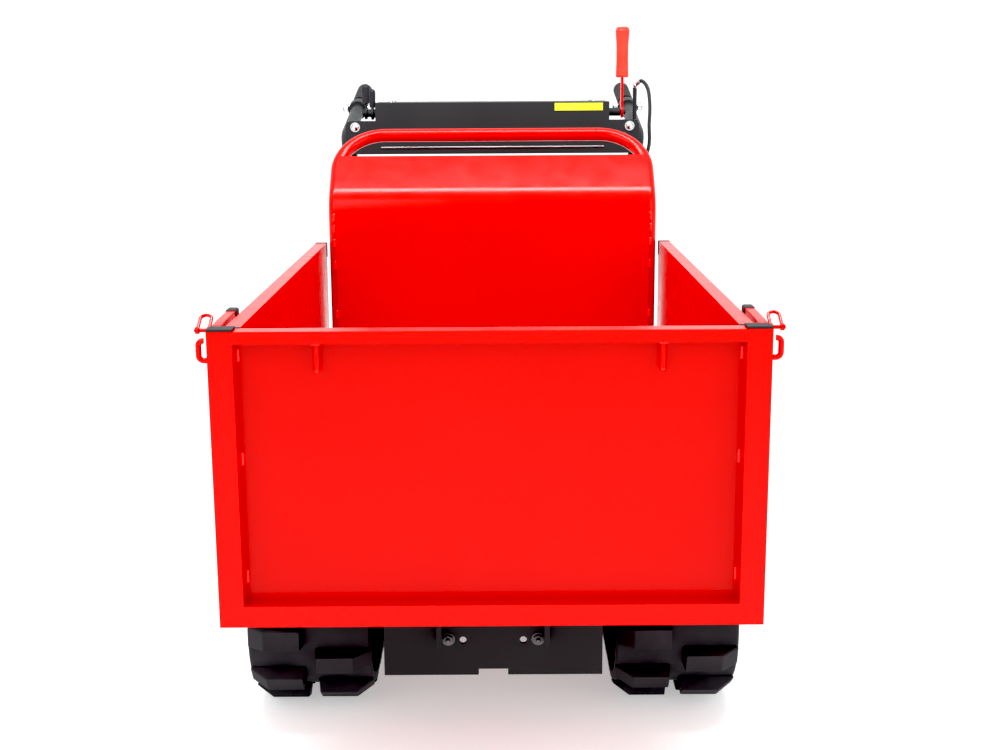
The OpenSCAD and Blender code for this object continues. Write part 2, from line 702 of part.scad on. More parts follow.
// The starter's fan cover is a turned dish with vent slots, a hub and an eye for the cord
starter_r = 92;
starter_x = [crank_half, crank_half + 52];
eye_x = starter_x[0] + 22;
eye_r = 6;
cord_r = 1.75;
cord_len = 150;
module starter_cover() color(red) from_gate_drive() difference() {
    union() {
        translate([starter_x[0], crank_g, crank_z]) rotate([0, 90, 0]) rotate_extrude() polygon([
            [0, 46], [30, 46], [36, 40], [60, 36], [starter_r - 8, 30], [starter_r - 3, 0], [starter_r, 0],
            [starter_r - 4, 34], [62, 40], [38, 52], [0, 52]]);
        rod_y(eye_r, eye_x, [crank_g + starter_r - 7, crank_g + starter_r], crank_z);
    }
    for (k = [0:17]) translate([starter_x[0], crank_g, crank_z]) rotate([20 * k, 0, 0])
        translate([20, -3, 46]) cube([40, 6, 32]);
    rod_y(cord_r + clear, eye_x, [crank_g + starter_r - 20, crank_g + starter_r + 1], crank_z);
}

// The grip rests against the eye, with its cord drawn out straight behind it inside the cover
module starter_grip() color(black) from_gate_drive() {
    g = crank_g + starter_r + 0.3;
    rod_y(cord_r, eye_x, [g - cord_len, g + 1], crank_z);
    translate([eye_x, g, crank_z]) rotate([-90, 0, 0]) {
        cylinder(h = 9, r1 = 5, r2 = 7);
        translate([0, 0, 8]) cylinder(h = 6, r = 7);
    }
    block([eye_x - 7, eye_x + 7], [g + 12, g + 26], [crank_z - 32, crank_z + 32]);
}

// The tank is a rounded box over the crankcase, held up on two straps
tank_z = [crank_z + 106, crank_z + 192];
tank_r = 24;
tank_x = [-86, 112];
tank_g = [crank_g - 28, crank_g + 118];
cap_at = [tank_x[0] + 70, tank_g[0] + 78];
module fuel_tank() color(red) from_gate_drive() {
    hull() for (x = tank_x + [tank_r, -tank_r], g = tank_g + [tank_r, -tank_r]) {
        translate([x, g, tank_z[0]]) cylinder(h = tank_z[1] - tank_z[0] - 16, r = tank_r, $fn = 32);
        translate([x, g, tank_z[0]]) cylinder(h = tank_z[1] - tank_z[0], r = tank_r - 12, $fn = 32);
    }
    rod_z(22, cap_at.x, cap_at.y, [tank_z[1] - 4, tank_z[1] + 8]);
    for (x = [tank_x[0] + 30, tank_x[1] - 34])
        block([x, x + 14], [crank_g - 12, crank_g + 12], [crank_z + case_r + 0.3, tank_z[0] + 4]);
}

cap_ribs = 16;
module fuel_cap() color(black) from_gate_drive() translate([cap_at.x, cap_at.y, tank_z[1] + 8.3]) {
    cylinder(h = 16, r = 28);
    for (k = [0:cap_ribs - 1]) rotate(360 / cap_ribs * k) translate([26, -2, 0]) cube([4, 4, 16]);
}

// The muffler stands on the exhaust port, on the right of the cylinder, with a slotted guard
muffler_x = [74, 164];
module muffler() color(steel) from_gate_drive() difference() {
    union() {
        block(muffler_x, [deck_g[0] + 16, crank_g - 96], [crank_z + 20, crank_z + 122]);
        rod_x(14, [72.3, 90], crank_g - 110, crank_z + 70);
        rod_x(11, [150, 178], deck_g[0] + 46, crank_z + 50);
    }
    rod_x(8, [166, 180], deck_g[0] + 46, crank_z + 50);
    for (z = [crank_z + 34:14:crank_z + 108])
        block([muffler_x[0] + 14, muffler_x[1] - 14], [deck_g[0] + 14, deck_g[0] + 20], [z, z + 6]);
}

// The air cleaner is a round-edged box on the intake side
cleaner_x = [-150, -58];
module air_cleaner() color(black) from_gate_drive() {
    hull() for (x = cleaner_x + [18, -18], g = [deck_g[0] + 34, crank_g - 108]) {
        translate([x, g, crank_z + 30]) cylinder(h = 84, r = 18, $fn = 32);
        translate([x, g, crank_z + 30]) cylinder(h = 92, r = 10, $fn = 32);
    }
    rod_x(15, [cleaner_x[1] - 14, -52], crank_g - 120, crank_z + 70);
    rod_z(9, (cleaner_x[0] + cleaner_x[1]) / 2, crank_g - 130, [crank_z + 118, crank_z + 130]);
}

// Handles and controls

knee_r = 60;
module handle_tubes() color(black) from_gate() {
    both_sides() handle_tube();
    stop = clutch_route[0];
    rod_z(cable_r + 0.5, stop.x, stop.y, [handle_knee.z + 17, stop.z - cable_r]);
}
module handle_tube() {
    bent_rod([handle_foot, handle_mid, handle_knee, handle_end - handle_dir * 4], handle_r, knee_r);
    rod_x(stirrup_pin_r, [handle_x - stirrup_x - 6, handle_x + stirrup_x + 6], stirrup_pin.y, stirrup_pin.z);
    rod(stirrup_pin - handle_dir * clamp_half, stirrup_pin + handle_dir * clamp_half, handle_r + 6);
    block([handle_foot.x - 13, handle_foot.x + 13], [handle_foot.y - 18, handle_foot.y + 18],
        [rail_z1, rail_z1 + 22]);
    block([handle_x - 32, handle_x - 6], [console_g + console_t, console_g + 44],
        [handle_knee.z + 2, console_top - ear_drop - 1]);
}

module handle_grips() color(rubber) from_gate() both_sides() difference() {
    rod(handle_end - handle_dir * grip_len, handle_end, grip_r);
    rod(handle_end - handle_dir * (grip_len + 1), handle_end - handle_dir * 3.9, handle_r + play);
    for (k = [0:8]) {
        at = handle_end - handle_dir * (grip_len - 12 - 13 * k);
        n = square_to(handle_dir);
        axes(n, cross(handle_dir, n), handle_dir, at)
            rotate_extrude() translate([grip_r + 0.6, 0]) circle(1.8);
    }
}

// The console is a folded sheet: a face with lower ears at its ends, a top and a folded lower edge
console_t = 3;
console_depth = 120;
console_fold = 26;
ear_bolt_drop = 12;
module console_panel() color(black) from_gate() {
    z0 = console_top - console_h;
    ear_top = console_top - ear_drop;
    difference() {
        union() {
            translate([0, console_g + console_t, 0]) rotate([90, 0, 0]) linear_extrude(console_t) polygon([
                [-console_ears_w / 2, z0], [console_ears_w / 2, z0],
                [console_ears_w / 2, ear_top - 8], [console_ears_w / 2 - 8, ear_top],
                [console_w / 2, ear_top], [console_w / 2, console_top],
                [-console_w / 2, console_top], [-console_w / 2, ear_top],
                [-console_ears_w / 2 + 8, ear_top], [-console_ears_w / 2, ear_top - 8]]);
            block([-console_w / 2, console_w / 2], [console_g, console_g + console_depth],
                [console_top - console_t, console_top]);
            both_sides() block([console_w / 2 - console_t, console_w / 2],
                [console_g, console_g + console_depth], [ear_top, console_top]);
            block([-console_w / 2, console_w / 2], [console_g, console_g + console_fold], [z0, z0 + console_t]);
        }
        both_sides() rod_y(4.5, handle_x - 22, [console_g - 1, console_g + console_t + 1], ear_top - ear_bolt_drop);
    }
    lever_bracket(drive_lever_x, lever_at, 1);
    lever_bracket(gear_lever_x, lever_at, -1);
    lever_bracket(throttle_lever_x, throttle_at, -1);
}

// A lever turns on a pin between the console's side and its own bracket
lever_at = [console_g + 70, console_top - 22];
throttle_at = lever_at - [34, 0];
lever_pin_r = 5;
lever_t = 5;
drive_lever_x = console_w / 2 + 30;
gear_lever_x = -console_w / 2 - 24;
throttle_lever_x = -console_w / 2 - 8;
module lever_bracket(x, at, s) {
    from = s * (console_w / 2 - 1);
    to = x + s * (lever_t / 2 + 5);
    rod_x(lever_pin_r, [min(from, to), max(from, to)], at.x, at.y);
    seat = x - s * (lever_t / 2 + clear);
    rod_x(lever_pin_r + 3, [min(from, seat), max(from, seat)], at.x, at.y);
}

// A flat lever with a round eye at its pivot
module flat_lever(x, at, w, h) difference() {
    slab_x([x - lever_t / 2, x + lever_t / 2]) {
        translate(at) circle(lever_pin_r + 7);
        translate([at.x - w / 2, at.y]) square([w, h]);
    }
    rod_x(lever_pin_r + play, [x - lever_t, x + lever_t], at.x, at.y);
}

lever_grip_h = 98;
module drive_lever() color(red) from_gate() flat_lever(drive_lever_x, lever_at, 16, lever_len - 8);

// The red grip is a turned sleeve that flares at its top and is slotted for the flat lever
module drive_lever_grip() color(grip_red) from_gate() difference() {
    translate([drive_lever_x, lever_at.x, lever_at.y + lever_len - lever_grip_h]) rotate_extrude() polygon([
        [0, 0], [11.5, 0], [12.5, 3], [11.6, 34], [11.8, 62], [13.4, 84], [14, lever_grip_h - 8],
        [12, lever_grip_h - 2], [9, lever_grip_h], [0, lever_grip_h]]);
    block([drive_lever_x - lever_t / 2 - play, drive_lever_x + lever_t / 2 + play],
        [lever_at.x - 8 - play, lever_at.x + 8 + play],
        [lever_at.y + lever_len - lever_grip_h - 1, lever_at.y + lever_len - 8 + play]);
}

// Gear and throttle levers end in rounded dipped grips
module knob_lever(x, at, h, r) {
    flat_lever(x, at, 12, h);
    rod_z(r, x, at.x, [at.y + h - 24, at.y + h + 6]);
    translate([x, at.x, at.y + h + 6]) difference() {
        sphere(r);
        translate([-20, -20, -40]) cube(40);
    }
}
module gear_lever() color(black) from_gate() knob_lever(gear_lever_x, lever_at, 44, 8);
module throttle_lever() color(black) from_gate() knob_lever(throttle_lever_x, throttle_at, 36, 6);

// A steering lever is a stirrup under the grip that turns on a pin through a clamp on the handle
clamp_back = grip_len + 44;
clamp_half = 14;
stirrup_r = 4;
stirrup_x = 26;
stirrup_drop = 50;
stirrup_pin_r = 5;
stirrup_pin = handle_end - handle_dir * clamp_back;
module steering_lever(s) from_gate() on_side(s) difference() {
    up = cross([1, 0, 0], handle_dir);
    tip = handle_end - handle_dir * 22 - up * stirrup_drop;
    side = [stirrup_x, 0, 0];
    root = stirrup_pin + 7 * unit(tip - stirrup_pin);
    union() {
        bent_rod([root - side, tip - side, tip + side, root + side], stirrup_r, 14);
        for (e = [-1, 1]) translate([handle_x + e * stirrup_x, 0, 0])
            rod_x(11, [-stirrup_r, stirrup_r], stirrup_pin.y, stirrup_pin.z);
    }
    rod_x(stirrup_pin_r + play, [handle_x - 60, handle_x + 60], stirrup_pin.y, stirrup_pin.z);
}
module left_steering_lever() color(alloy) steering_lever(-1);
module right_steering_lever() color(alloy) steering_lever(1);

// Cables run down the handles' uprights, from the drive lever to the belt tensioner and from each
// steering lever to the gearbox
under_tube = [0, handle_dir.z, -handle_dir.y] * (handle_r + cable_r + 1);
function beside(a, b, part, off) = a + part * (b - a) + off;
outer_lie = [handle_r + cable_r + 2.3, 2, -3.5];
clutch_route = [
    [handle_x - 4, handle_knee.y + 80, lever_at.y + 51],
    [handle_x + 8, handle_knee.y + 70, lever_at.y + 61],
    [handle_x + 20, handle_knee.y + 56, lever_at.y + 45],
    handle_knee + [23, 42, 65],
    handle_knee + [21, 32, 30],
    handle_knee + [21, 25, -7],
    for (part = [0.896, 0.7, 0.4, 0.1]) beside(handle_mid, handle_knee, part, outer_lie),
    handle_mid + [9, -37, -5],
    handle_mid + [-32, -60, -24],
    [belt_x - 18.5, tension_at.x, tension_at.y + 36],
    [belt_x - 18.5, tension_at.x, tension_at.y + pin_block + 0.4]];
rear_lie = [0, 17.8, 9];
foot_lie = [0, 21, 0];
gearbox_end = [gearbox_half - 24, input_g + 43, input_z - 37];
steering_route = [
    stirrup_pin - handle_dir * (clamp_half + 0.7) + under_tube,
    handle_knee + handle_dir * 179 + under_tube,
    handle_knee + handle_dir * 106 + under_tube,
    handle_knee + handle_dir * 56 + 1.45 * under_tube,
    beside(handle_mid, handle_knee, 0.834, 1.15 * rear_lie + [5, 0, 0]),
    for (part = [0.7, 0.4]) beside(handle_mid, handle_knee, part, rear_lie),
    beside(handle_mid, handle_knee, 0.118, 1.09 * rear_lie),
    handle_mid + foot_lie,
    for (part = [0.693, 0.304]) beside(handle_foot, handle_mid, part, foot_lie),
    beside(handle_foot, handle_mid, 0.133, [-21, 14, 6]),
    [gearbox_half, handle_foot.y - 9, handle_foot.z + 16],
    gearbox_end + [0, 15, 0],
    gearbox_end];
module control_cables() color(rubber) from_gate() {
    cable(clutch_route);
    both_sides() cable(steering_route);
}

// Load bed

// The floor sheet lies on beams, with ears for the tip pivot and knuckles for the gate and the sides
beam_w = 26;
floor_x = side_in - 1;
floor_g = [side_g0 + 6, hoop_g + hoop_tube / 2];
bed_ear_x = pivot_ear_x + pivot_ear_t + 0.6;
module bed_frame() color(red) from_gate() difference() {
    union() {
        block([-floor_x, floor_x], floor_g, [floor_z - sheet, floor_z]);
        both_sides() block([floor_x - beam_w, floor_x], floor_g, [beam_z0, floor_z - 1]);
        both_sides() block([rail_span / 2 - 20, rail_span / 2 + 20], floor_g, [beam_z0, floor_z - 1]);
        for (g = [floor_g[0], pivot_g - 20, 560, floor_g[1] - beam_w])
            block([-floor_x + 1, floor_x - 1], [g, g + beam_w], [beam_z0, floor_z - 1]);
        both_sides() block([bed_ear_x, bed_ear_x + pivot_ear_t], [pivot_g - ear_r, pivot_g + ear_r],
            [pivot_z, beam_z0 + 1]);
        both_sides() rod_x(ear_r, [bed_ear_x, bed_ear_x + pivot_ear_t], pivot_g, pivot_z);
        for (x = gate_hinges) {
            rod_x(hinge_r, [x - knuckle / 2, x + knuckle / 2], gate_axis_g, gate_axis_z);
            block([x - knuckle / 2, x + knuckle / 2], [gate_axis_g - hinge_r / 2, gate_axis_g + hinge_r - 1],
                [gate_axis_z, beam_z0 + 1]);
        }
        both_sides() for (g = side_hinges) {
            rod_y(hinge_r, side_axis_x, [g - knuckle / 2, g + knuckle / 2], side_axis_z);
            block([floor_x - 1, side_axis_x], [g - knuckle / 2, g + knuckle / 2],
                [side_axis_z - hinge_r, side_axis_z + hinge_r - 2]);
        }
    }
    both_sides() rod_x(pivot_r + play, [bed_ear_x - 1, bed_ear_x + pivot_ear_t + 1], pivot_g, pivot_z);
    for (x = gate_hinges) rod_x(hinge_pin_r + play, [x - knuckle, x + knuckle], gate_axis_g, gate_axis_z);
    both_sides() for (g = side_hinges)
        rod_y(hinge_pin_r + play, side_axis_x, [g - knuckle, g + knuckle], side_axis_z);
}

module hinge_pins() color(steel) from_gate() {
    half = hinge_len / 2 + 2;
    for (x = gate_hinges) rod_x(hinge_pin_r, [x - half, x + half], gate_axis_g, gate_axis_z);
    both_sides() for (g = side_hinges) rod_y(hinge_pin_r, side_axis_x, [g - half, g + half], side_axis_z);
}

// The headboard: legs up from the floor, a bend, and a leaning top
lean_up = [sin(hoop_lean), cos(hoop_lean)];
hoop_x = (hoop_w - hoop_tube) / 2;
hoop_top = [hoop_g, hoop_bend_z] + hoop_reach * lean_up;
module headboard_hoop() color(red) from_gate() bent_rod([
    [-hoop_x, hoop_g, floor_z], [-hoop_x, hoop_g, hoop_bend_z], [-hoop_x, hoop_top.x, hoop_top.y],
    [hoop_x, hoop_top.x, hoop_top.y], [hoop_x, hoop_g, hoop_bend_z], [hoop_x, hoop_g, floor_z]],
    hoop_tube / 2, [0, hoop_bend_r, hoop_corner, hoop_corner, hoop_bend_r, 0]);

// The panel is one bent sheet between the legs, level with the middle of the tube
panel_seat = 0.2;
module headboard_panel() color(red) from_gate() {
    x = hoop_x - hoop_tube / 2 - panel_seat;
    reach = hoop_reach - hoop_tube / 2 - hand_slot;
    back = hoop_bend_r * tan(hoop_lean / 2);
    slab_x([-x, x]) {
        translate([hoop_g - sheet / 2, floor_z]) square([sheet, hoop_bend_z - back - floor_z + bend_lap]);
        translate([hoop_g + hoop_bend_r, hoop_bend_z - back]) intersection() {
            difference() {
                circle(hoop_bend_r + sheet / 2);
                circle(hoop_bend_r - sheet / 2);
            }
            polygon([[0, 0], [-200, 0], [-200, 200 * tan(hoop_lean)]]);
        }
    }
    translate([0, hoop_g, hoop_bend_z]) rotate([90 - hoop_lean, 0, 0]) translate([0, 0, -sheet / 2])
        linear_extrude(sheet) intersection() {
            translate([-x, back - bend_lap]) square([2 * x, reach - back + bend_lap]);
            union() {
                corner_x = hoop_x - hoop_corner;
                corner_up = hoop_reach - hoop_corner;
                translate([-x, 0]) square([2 * x, corner_up]);
                translate([-corner_x, 0]) square([2 * corner_x, hoop_reach]);
                for (e = [-1, 1]) translate([e * corner_x, corner_up])
                    circle(hoop_corner - hoop_tube / 2 - 2 * panel_seat);
            }
        }
}

// The gate is a welded frame of posts and rails with its sheet at the back
hook_x = 208;
hook_r = 4;
hook_len = 33;
keeper_r = 3.6;
keeper_g = 8;
keeper_out = 11;
keeper_z = [gate_top - 36, gate_top - 12];
module front_gate() color(red) from_gate() difference() {
    union() {
        w = gate_w / 2;
        both_sides() block([w - gate_post, w], [0, gate_depth], [gate_z, gate_top]);
        block([-w + 1, w - 1], [0, gate_depth], [gate_z, gate_z + gate_bottom_rail]);
        block([-w + gate_post - 1, w - gate_post + 1], [0, gate_depth], [gate_top - gate_top_rail, gate_top]);
        block([-w + 1, w - 1], [gate_depth - sheet, gate_depth], [gate_z + 1, gate_top - 1]);
        both_sides() {
            rail = gate_top - gate_top_rail;
            rod_z(hook_r, hook_x, gate_depth / 2 - 2, [rail - hook_len, rail + 1]);
            bent_rod([[w - 2, keeper_g, keeper_z[0]], [w + keeper_out, keeper_g, keeper_z[0]],
                [w + keeper_out, keeper_g, keeper_z[1]], [w + 4.5, keeper_g, keeper_z[1]]], keeper_r, 6);
        }
        for (x = gate_hinges, e = [-1, 1]) {
            a = e * (knuckle / 2 + clear);
            b = e * hinge_len / 2;
            k = [x + min(a, b), x + max(a, b)];
            rod_x(hinge_r, k, gate_axis_g, gate_axis_z);
            block(k, [gate_depth - sheet, gate_axis_g], [gate_axis_z + 2, gate_axis_z + hinge_r]);
        }
    }
    for (x = gate_hinges) rod_x(hinge_pin_r + play, [x - hinge_len, x + hinge_len], gate_axis_g, gate_axis_z);
}

// Plastic plugs close the tops of the gate posts
cap_h = 3;
module gate_caps() color(black) from_gate() both_sides()
    block([gate_w / 2 - gate_post, gate_w / 2], [0, gate_depth], [gate_top, gate_top + cap_h]);

// A side panel is a tube frame with its sheet on the inside, knuckles below and a latch bracket in front
module side_panel(s) from_gate() on_side(s) difference() {
    union() {
        block([side_in, side_out], [side_g0, side_g1], [gate_top - side_rail_h, gate_top]);
        block([side_in, side_out], [side_g0, side_g1], [side_z0, side_z0 + side_rail_h]);
        for (g = [side_g0, side_g1 - side_rail_h, (side_g0 + side_g1) / 2])
            block([side_in, side_out], [g, g + side_rail_h], [side_z0 + 1, gate_top - 1]);
        block([side_in, side_in + sheet], [side_g0 + 1, side_g1 - 1], [side_z0 + 1, gate_top - 1]);
        for (g = side_hinges, e = [-1, 1]) {
            a = e * (knuckle / 2 + clear);
            b = e * hinge_len / 2;
            k = [g + min(a, b), g + max(a, b)];
            rod_y(hinge_r, side_axis_x, k, side_axis_z);
            block([side_axis_x - hinge_r + 1, side_axis_x + 5], k, [side_axis_z, side_z0 + 1]);
        }
        rod_x(latch_pin_r, [side_out - 1, latch_x[1] + 3], latch_g, latch_z);
    }
    for (g = side_hinges) rod_y(hinge_pin_r + play, side_axis_x, [g - hinge_len, g + hinge_len], side_axis_z);
}
module left_side() color(red) side_panel(-1);
module right_side() color(red) side_panel(1);

// Toggle latch: a folded lever on the side panel, and a wire bail on the lever's cross pin
latch_x = [side_out + 4, side_out + 16];
latch_z = gate_top - 9;
latch_pin_r = 4;
bail_pin_r = 2.5;
bail_pin = [latch_g - 12, latch_z + 4];
bail_x = gate_w / 2 + 11;
module latch_lever(s) from_gate() on_side(s) difference() {
    union() {
        slab_x(latch_x) {
            translate([latch_g, latch_z]) circle(9);
            translate(bail_pin) circle(6.5);
            polygon([bail_pin + [0, -6.5], bail_pin + [0, 6.5], [latch_g + 12, latch_z + 12],
                [latch_g + latch_len, latch_z + 13], [latch_g + latch_len, latch_z + 5],
                [latch_g + 14, latch_z - 8]]);
        }
        rod_x(bail_pin_r, [latch_x[0] + 2, bail_x + bail_arch + 4], bail_pin.x, bail_pin.y);
    }
    slab_x([latch_x[0] + 2, latch_x[1] - 2]) polygon([
        [latch_g + 16, latch_z - 10], [latch_g + 16, latch_z + 10],
        [latch_g + latch_len - 20, latch_z + 11], [latch_g + latch_len - 20, latch_z - 8]]);
    rod_x(latch_pin_r + play, [latch_x[0] - 1, latch_x[1] + 1], latch_g, latch_z);
}
module left_latch_lever() color(red) latch_lever(-1);
module right_latch_lever() color(red) latch_lever(1);

module bail(s) from_gate() translate([s * bail_x, bail_pin.x, bail_pin.y]) rotate([-bail_lean, 0, 0])
    difference() {
        union() {
            for (e = [-1, 1]) translate([e * bail_arch, 0, 0]) {
                rod_x(bail_pin_r + 2, [-bail_wire, bail_wire], 0, 0);
                rod_z(bail_wire, 0, 0, [bail_pin_r + 1, bail_h - bail_arch]);
            }
            translate([0, 0, bail_h - bail_arch]) rotate([90, 0, 0]) elbow(180, bail_wire, bail_arch);
        }
        rod_x(bail_pin_r + play, [-20, 20], 0, 0);
    }
module left_bail() color(red) bail(-1);
module right_bail() color(red) bail(1);

chassis_rails();
front_plate();
cross_tubes();
engine_deck();
tip_pivot_pin();
bed_buffers();
left_track_frame();
right_track_frame();
idler_yokes();
wheel_axles();
shaft_bearings();
left_track();
right_track();
left_sprocket();
right_sprocket();
left_idler();
right_idler();
left_roller_1();
left_roller_2();
left_roller_3();
right_roller_1();
right_roller_2();
right_roller_3();
gearbox();
gearbox_pulley();
engine_pulley();
drive_belt();
tensioner_arm();
belt_cover();
crankcase();
cylinder_block();
starter_cover();
starter_grip();
fuel_tank();
fuel_cap();
muffler();
air_cleaner();
handle_tubes();
handle_grips();
console_panel();
drive_lever();
drive_lever_grip();
left_steering_lever();
right_steering_lever();
gear_lever();
throttle_lever();
control_cables();
bed_frame();
headboard_panel();
headboard_hoop();
hinge_pins();
front_gate();
gate_caps();
left_side();
right_side();
left_latch_lever();
right_latch_lever();
left_bail();
right_bail();
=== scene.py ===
# %% [markdown]
# # A tracked power carrier
# The machine carries loads over soft ground: a red tipping bed on two rubber tracks, with an engine, a
# console and a pair of handles behind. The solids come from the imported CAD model, in metres and in their
# final places. This lesson gives them their paint, rubber and metal, and adds the small pieces they leave
# out.

import json
import math

import bmesh
import bpy
from mathutils import Matrix, Vector


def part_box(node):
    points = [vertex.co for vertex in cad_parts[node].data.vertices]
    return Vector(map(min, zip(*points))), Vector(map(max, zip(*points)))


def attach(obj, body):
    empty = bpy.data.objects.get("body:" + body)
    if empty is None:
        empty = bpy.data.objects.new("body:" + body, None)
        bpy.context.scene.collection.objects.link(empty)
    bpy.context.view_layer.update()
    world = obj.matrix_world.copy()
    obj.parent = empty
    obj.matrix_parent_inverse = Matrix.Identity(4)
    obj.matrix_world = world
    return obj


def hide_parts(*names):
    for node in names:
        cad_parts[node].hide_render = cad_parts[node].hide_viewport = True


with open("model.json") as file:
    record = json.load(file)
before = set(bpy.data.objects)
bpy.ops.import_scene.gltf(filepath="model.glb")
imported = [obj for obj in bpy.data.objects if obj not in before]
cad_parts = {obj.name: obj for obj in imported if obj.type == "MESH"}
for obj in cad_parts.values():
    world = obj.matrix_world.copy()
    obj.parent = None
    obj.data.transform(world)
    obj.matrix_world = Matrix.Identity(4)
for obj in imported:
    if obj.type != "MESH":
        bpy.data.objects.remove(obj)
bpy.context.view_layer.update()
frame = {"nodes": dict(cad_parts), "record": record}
nodes = frame["nodes"]

# %% [markdown]
# ## The camera
# The photograph looks at the gate from just in front of the machine and a little above it. Straight lines
# that run back along the sides meet at the horizon, which gives the camera's height and tilt. The width
# of the gate against the narrower headboard gives the distance, so the lens is left at what those two
# need.

# %% Place the camera
PHOTO_W = 1000
FOCAL_PX = 1414
SENSOR = 36.0
CAMERA_AT = Vector((0.012, -2.473, 0.934))
TILT = math.radians(11.96)
ROLL = math.radians(-0.35)
camera_data = bpy.data.cameras.new("photo_camera")
camera_data.sensor_fit = "HORIZONTAL"
camera_data.sensor_width = SENSOR
camera_data.lens = SENSOR * FOCAL_PX / PHOTO_W
camera = bpy.data.objects.new("photo_camera", camera_data)
bpy.context.scene.collection.objects.link(camera)
camera.matrix_world = (
    Matrix.Translation(CAMERA_AT)
    @ Matrix.Rotation(math.pi / 2 - TILT, 4, "X")
    @ Matrix.Rotation(ROLL, 4, "Z")
)
bpy.context.scene.camera = camera
print("lens:", round(camera_data.lens, 1), "mm")

# %% [markdown]
# ## Nodes for the finishes
# Every finish here is built from the same few steps: read the Object coordinates, so that a pattern stays
# on its piece, make noise from them, and send the noise into the colour, the roughness and a bump. Small
# helpers keep each finish short, so that what is special about it can be seen. Most of a noise pattern
# lies between two values in its middle, so the colours and the roughness are spread between those.

# %% Helpers for materials
MOST_LOW = 0.3
MOST_HIGH = 0.7
finishes = {}


def new_finish(name):
    """A node material's tree and shader, and the Object coordinates that its patterns read."""
    material = bpy.data.materials.new(name)
    material.use_nodes = True
    tree = material.node_tree
    shader = tree.nodes["Principled BSDF"]
    coords = tree.nodes.new("ShaderNodeTexCoord").outputs["Object"]
    finishes[name] = material
    return tree, shader, coords


def stretched(tree, coords, scale):
    """Coordinates pulled out along some axes, for brushed or streaked patterns."""
    mapping = tree.nodes.new("ShaderNodeMapping")
    mapping.inputs["Scale"].default_value = scale
    tree.links.new(coords, mapping.inputs["Vector"])
    return mapping.outputs["Vector"]


def noise(tree, coords, scale, detail=3.0):
    """A noise pattern, from 0 to 1."""
    node = tree.nodes.new("ShaderNodeTexNoise")
    node.inputs["Scale"].default_value = scale
    node.inputs["Detail"].default_value = detail
    tree.links.new(coords, node.inputs["Vector"])
    return node.outputs["Fac"]


def ramp(tree, value, dark, light, low=MOST_LOW, high=MOST_HIGH):
    """Turns a value into colours: dark up to one place, light from another."""
    node = tree.nodes.new("ShaderNodeValToRGB")
    stops = ((low, dark), (high, light))
    for element, (place, colour) in zip(node.color_ramp.elements, stops):
        element.position = place
        element.color = (*colour, 1.0)
    tree.links.new(value, node.inputs["Fac"])
    return node.outputs["Color"]


def spread(tree, value, low, high):
    """Maps the middle of a noise pattern onto a range of numbers."""
    node = tree.nodes.new("ShaderNodeMapRange")
    node.inputs["From Min"].default_value = MOST_LOW
    node.inputs["From Max"].default_value = MOST_HIGH
    node.inputs["To Min"].default_value = low
    node.inputs["To Max"].default_value = high
    tree.links.new(value, node.inputs["Value"])
    return node.outputs["Result"]


def bump(tree, shader, heights):
    """Stacks bumps, each a pattern with its strength and its depth in metres."""
    last = None
    for value, strength, depth in heights:
        node = tree.nodes.new("ShaderNodeBump")
        node.inputs["Strength"].default_value = strength
        node.inputs["Distance"].default_value = depth
        tree.links.new(value, node.inputs["Height"])
        if last:
            tree.links.new(last, node.inputs["Normal"])
        last = node.outputs["Normal"]
    tree.links.new(last, shader.inputs["Normal"])


# %% [markdown]
# ## Gloss paint
# The bed is sprayed a bright red over welded steel. Sprayed paint is never quite flat: it has a fine
# orange peel, and its colour drifts a little from panel to panel. Straight on the red is deep and clean,
# and pale streaks appear at shallow angles and under the strip light. Noises of four sizes make the
# drift, the gloss, the peel and a slow wave in the sheet.

# %% Red and black paint
DRIFT_SCALE = 4.0
GLOSS_SCALE = 30.0
PEEL_SCALE = 160.0
PEEL_DEPTH = 0.0006
WAVE_SCALE = 9.0
WAVE = 0.015
WAVE_DEPTH = 0.004


def paint(name, light, dark, roughness, gloss, peel):
    """Sprayed paint in two shades, with a range of roughness, its gloss and its orange peel."""
    tree, shader, coords = new_finish(name)
    colour = ramp(tree, noise(tree, coords, DRIFT_SCALE), dark, light)
    tree.links.new(colour, shader.inputs["Base Color"])
    rough = spread(tree, noise(tree, coords, GLOSS_SCALE), *roughness)
    tree.links.new(rough, shader.inputs["Roughness"])
    shader.inputs["Specular IOR Level"].default_value = gloss
    bump(tree, shader, [
        (noise(tree, coords, PEEL_SCALE, 2.0), peel, PEEL_DEPTH),
        (noise(tree, coords, WAVE_SCALE, 1.0), WAVE, WAVE_DEPTH),
    ])


paint("red_paint", (0.68, 0.0034, 0.0009), (0.64, 0.0025, 0.0006), (0.16, 0.22), 0.29, 0.02)
# The welds' red is lighter than the bed's red. That is a painted highlight, so that the beads and the
# hooks' round ends show as bright spots. Their higher gloss is real.
paint("weld_paint_painted_highlight", (0.93, 0.010, 0.006), (0.88, 0.006, 0.003), (0.16, 0.24), 0.6, 0.02)
paint("black_paint", (0.042, 0.044, 0.046), (0.034, 0.036, 0.038), (0.30, 0.42), 0.10, 0.08)
print("paints:", sorted(finishes))

# %% [markdown]
# ## Rubber, plastic and metal
# Moulded rubber is dull and dusty, with a fine grain from its mould. Hard plastic is a little smoother.
# Castings have a sandy skin, and turned or plated steel has streaks along it. Each kind is one function
# with its own scales, so that the tracks, grips, covers and wheels differ as they do on the machine.

# %% Rubber and plastic
MOULDED_GLOSS = 0.2
DUST_SCALE = 22.0
DUST_LOW = 0.35
DUST_HIGH = 0.72
FINE_GRAIN = 0.25
COARSE_GRAIN = 0.12
COARSER = 12
DEEPER = 6


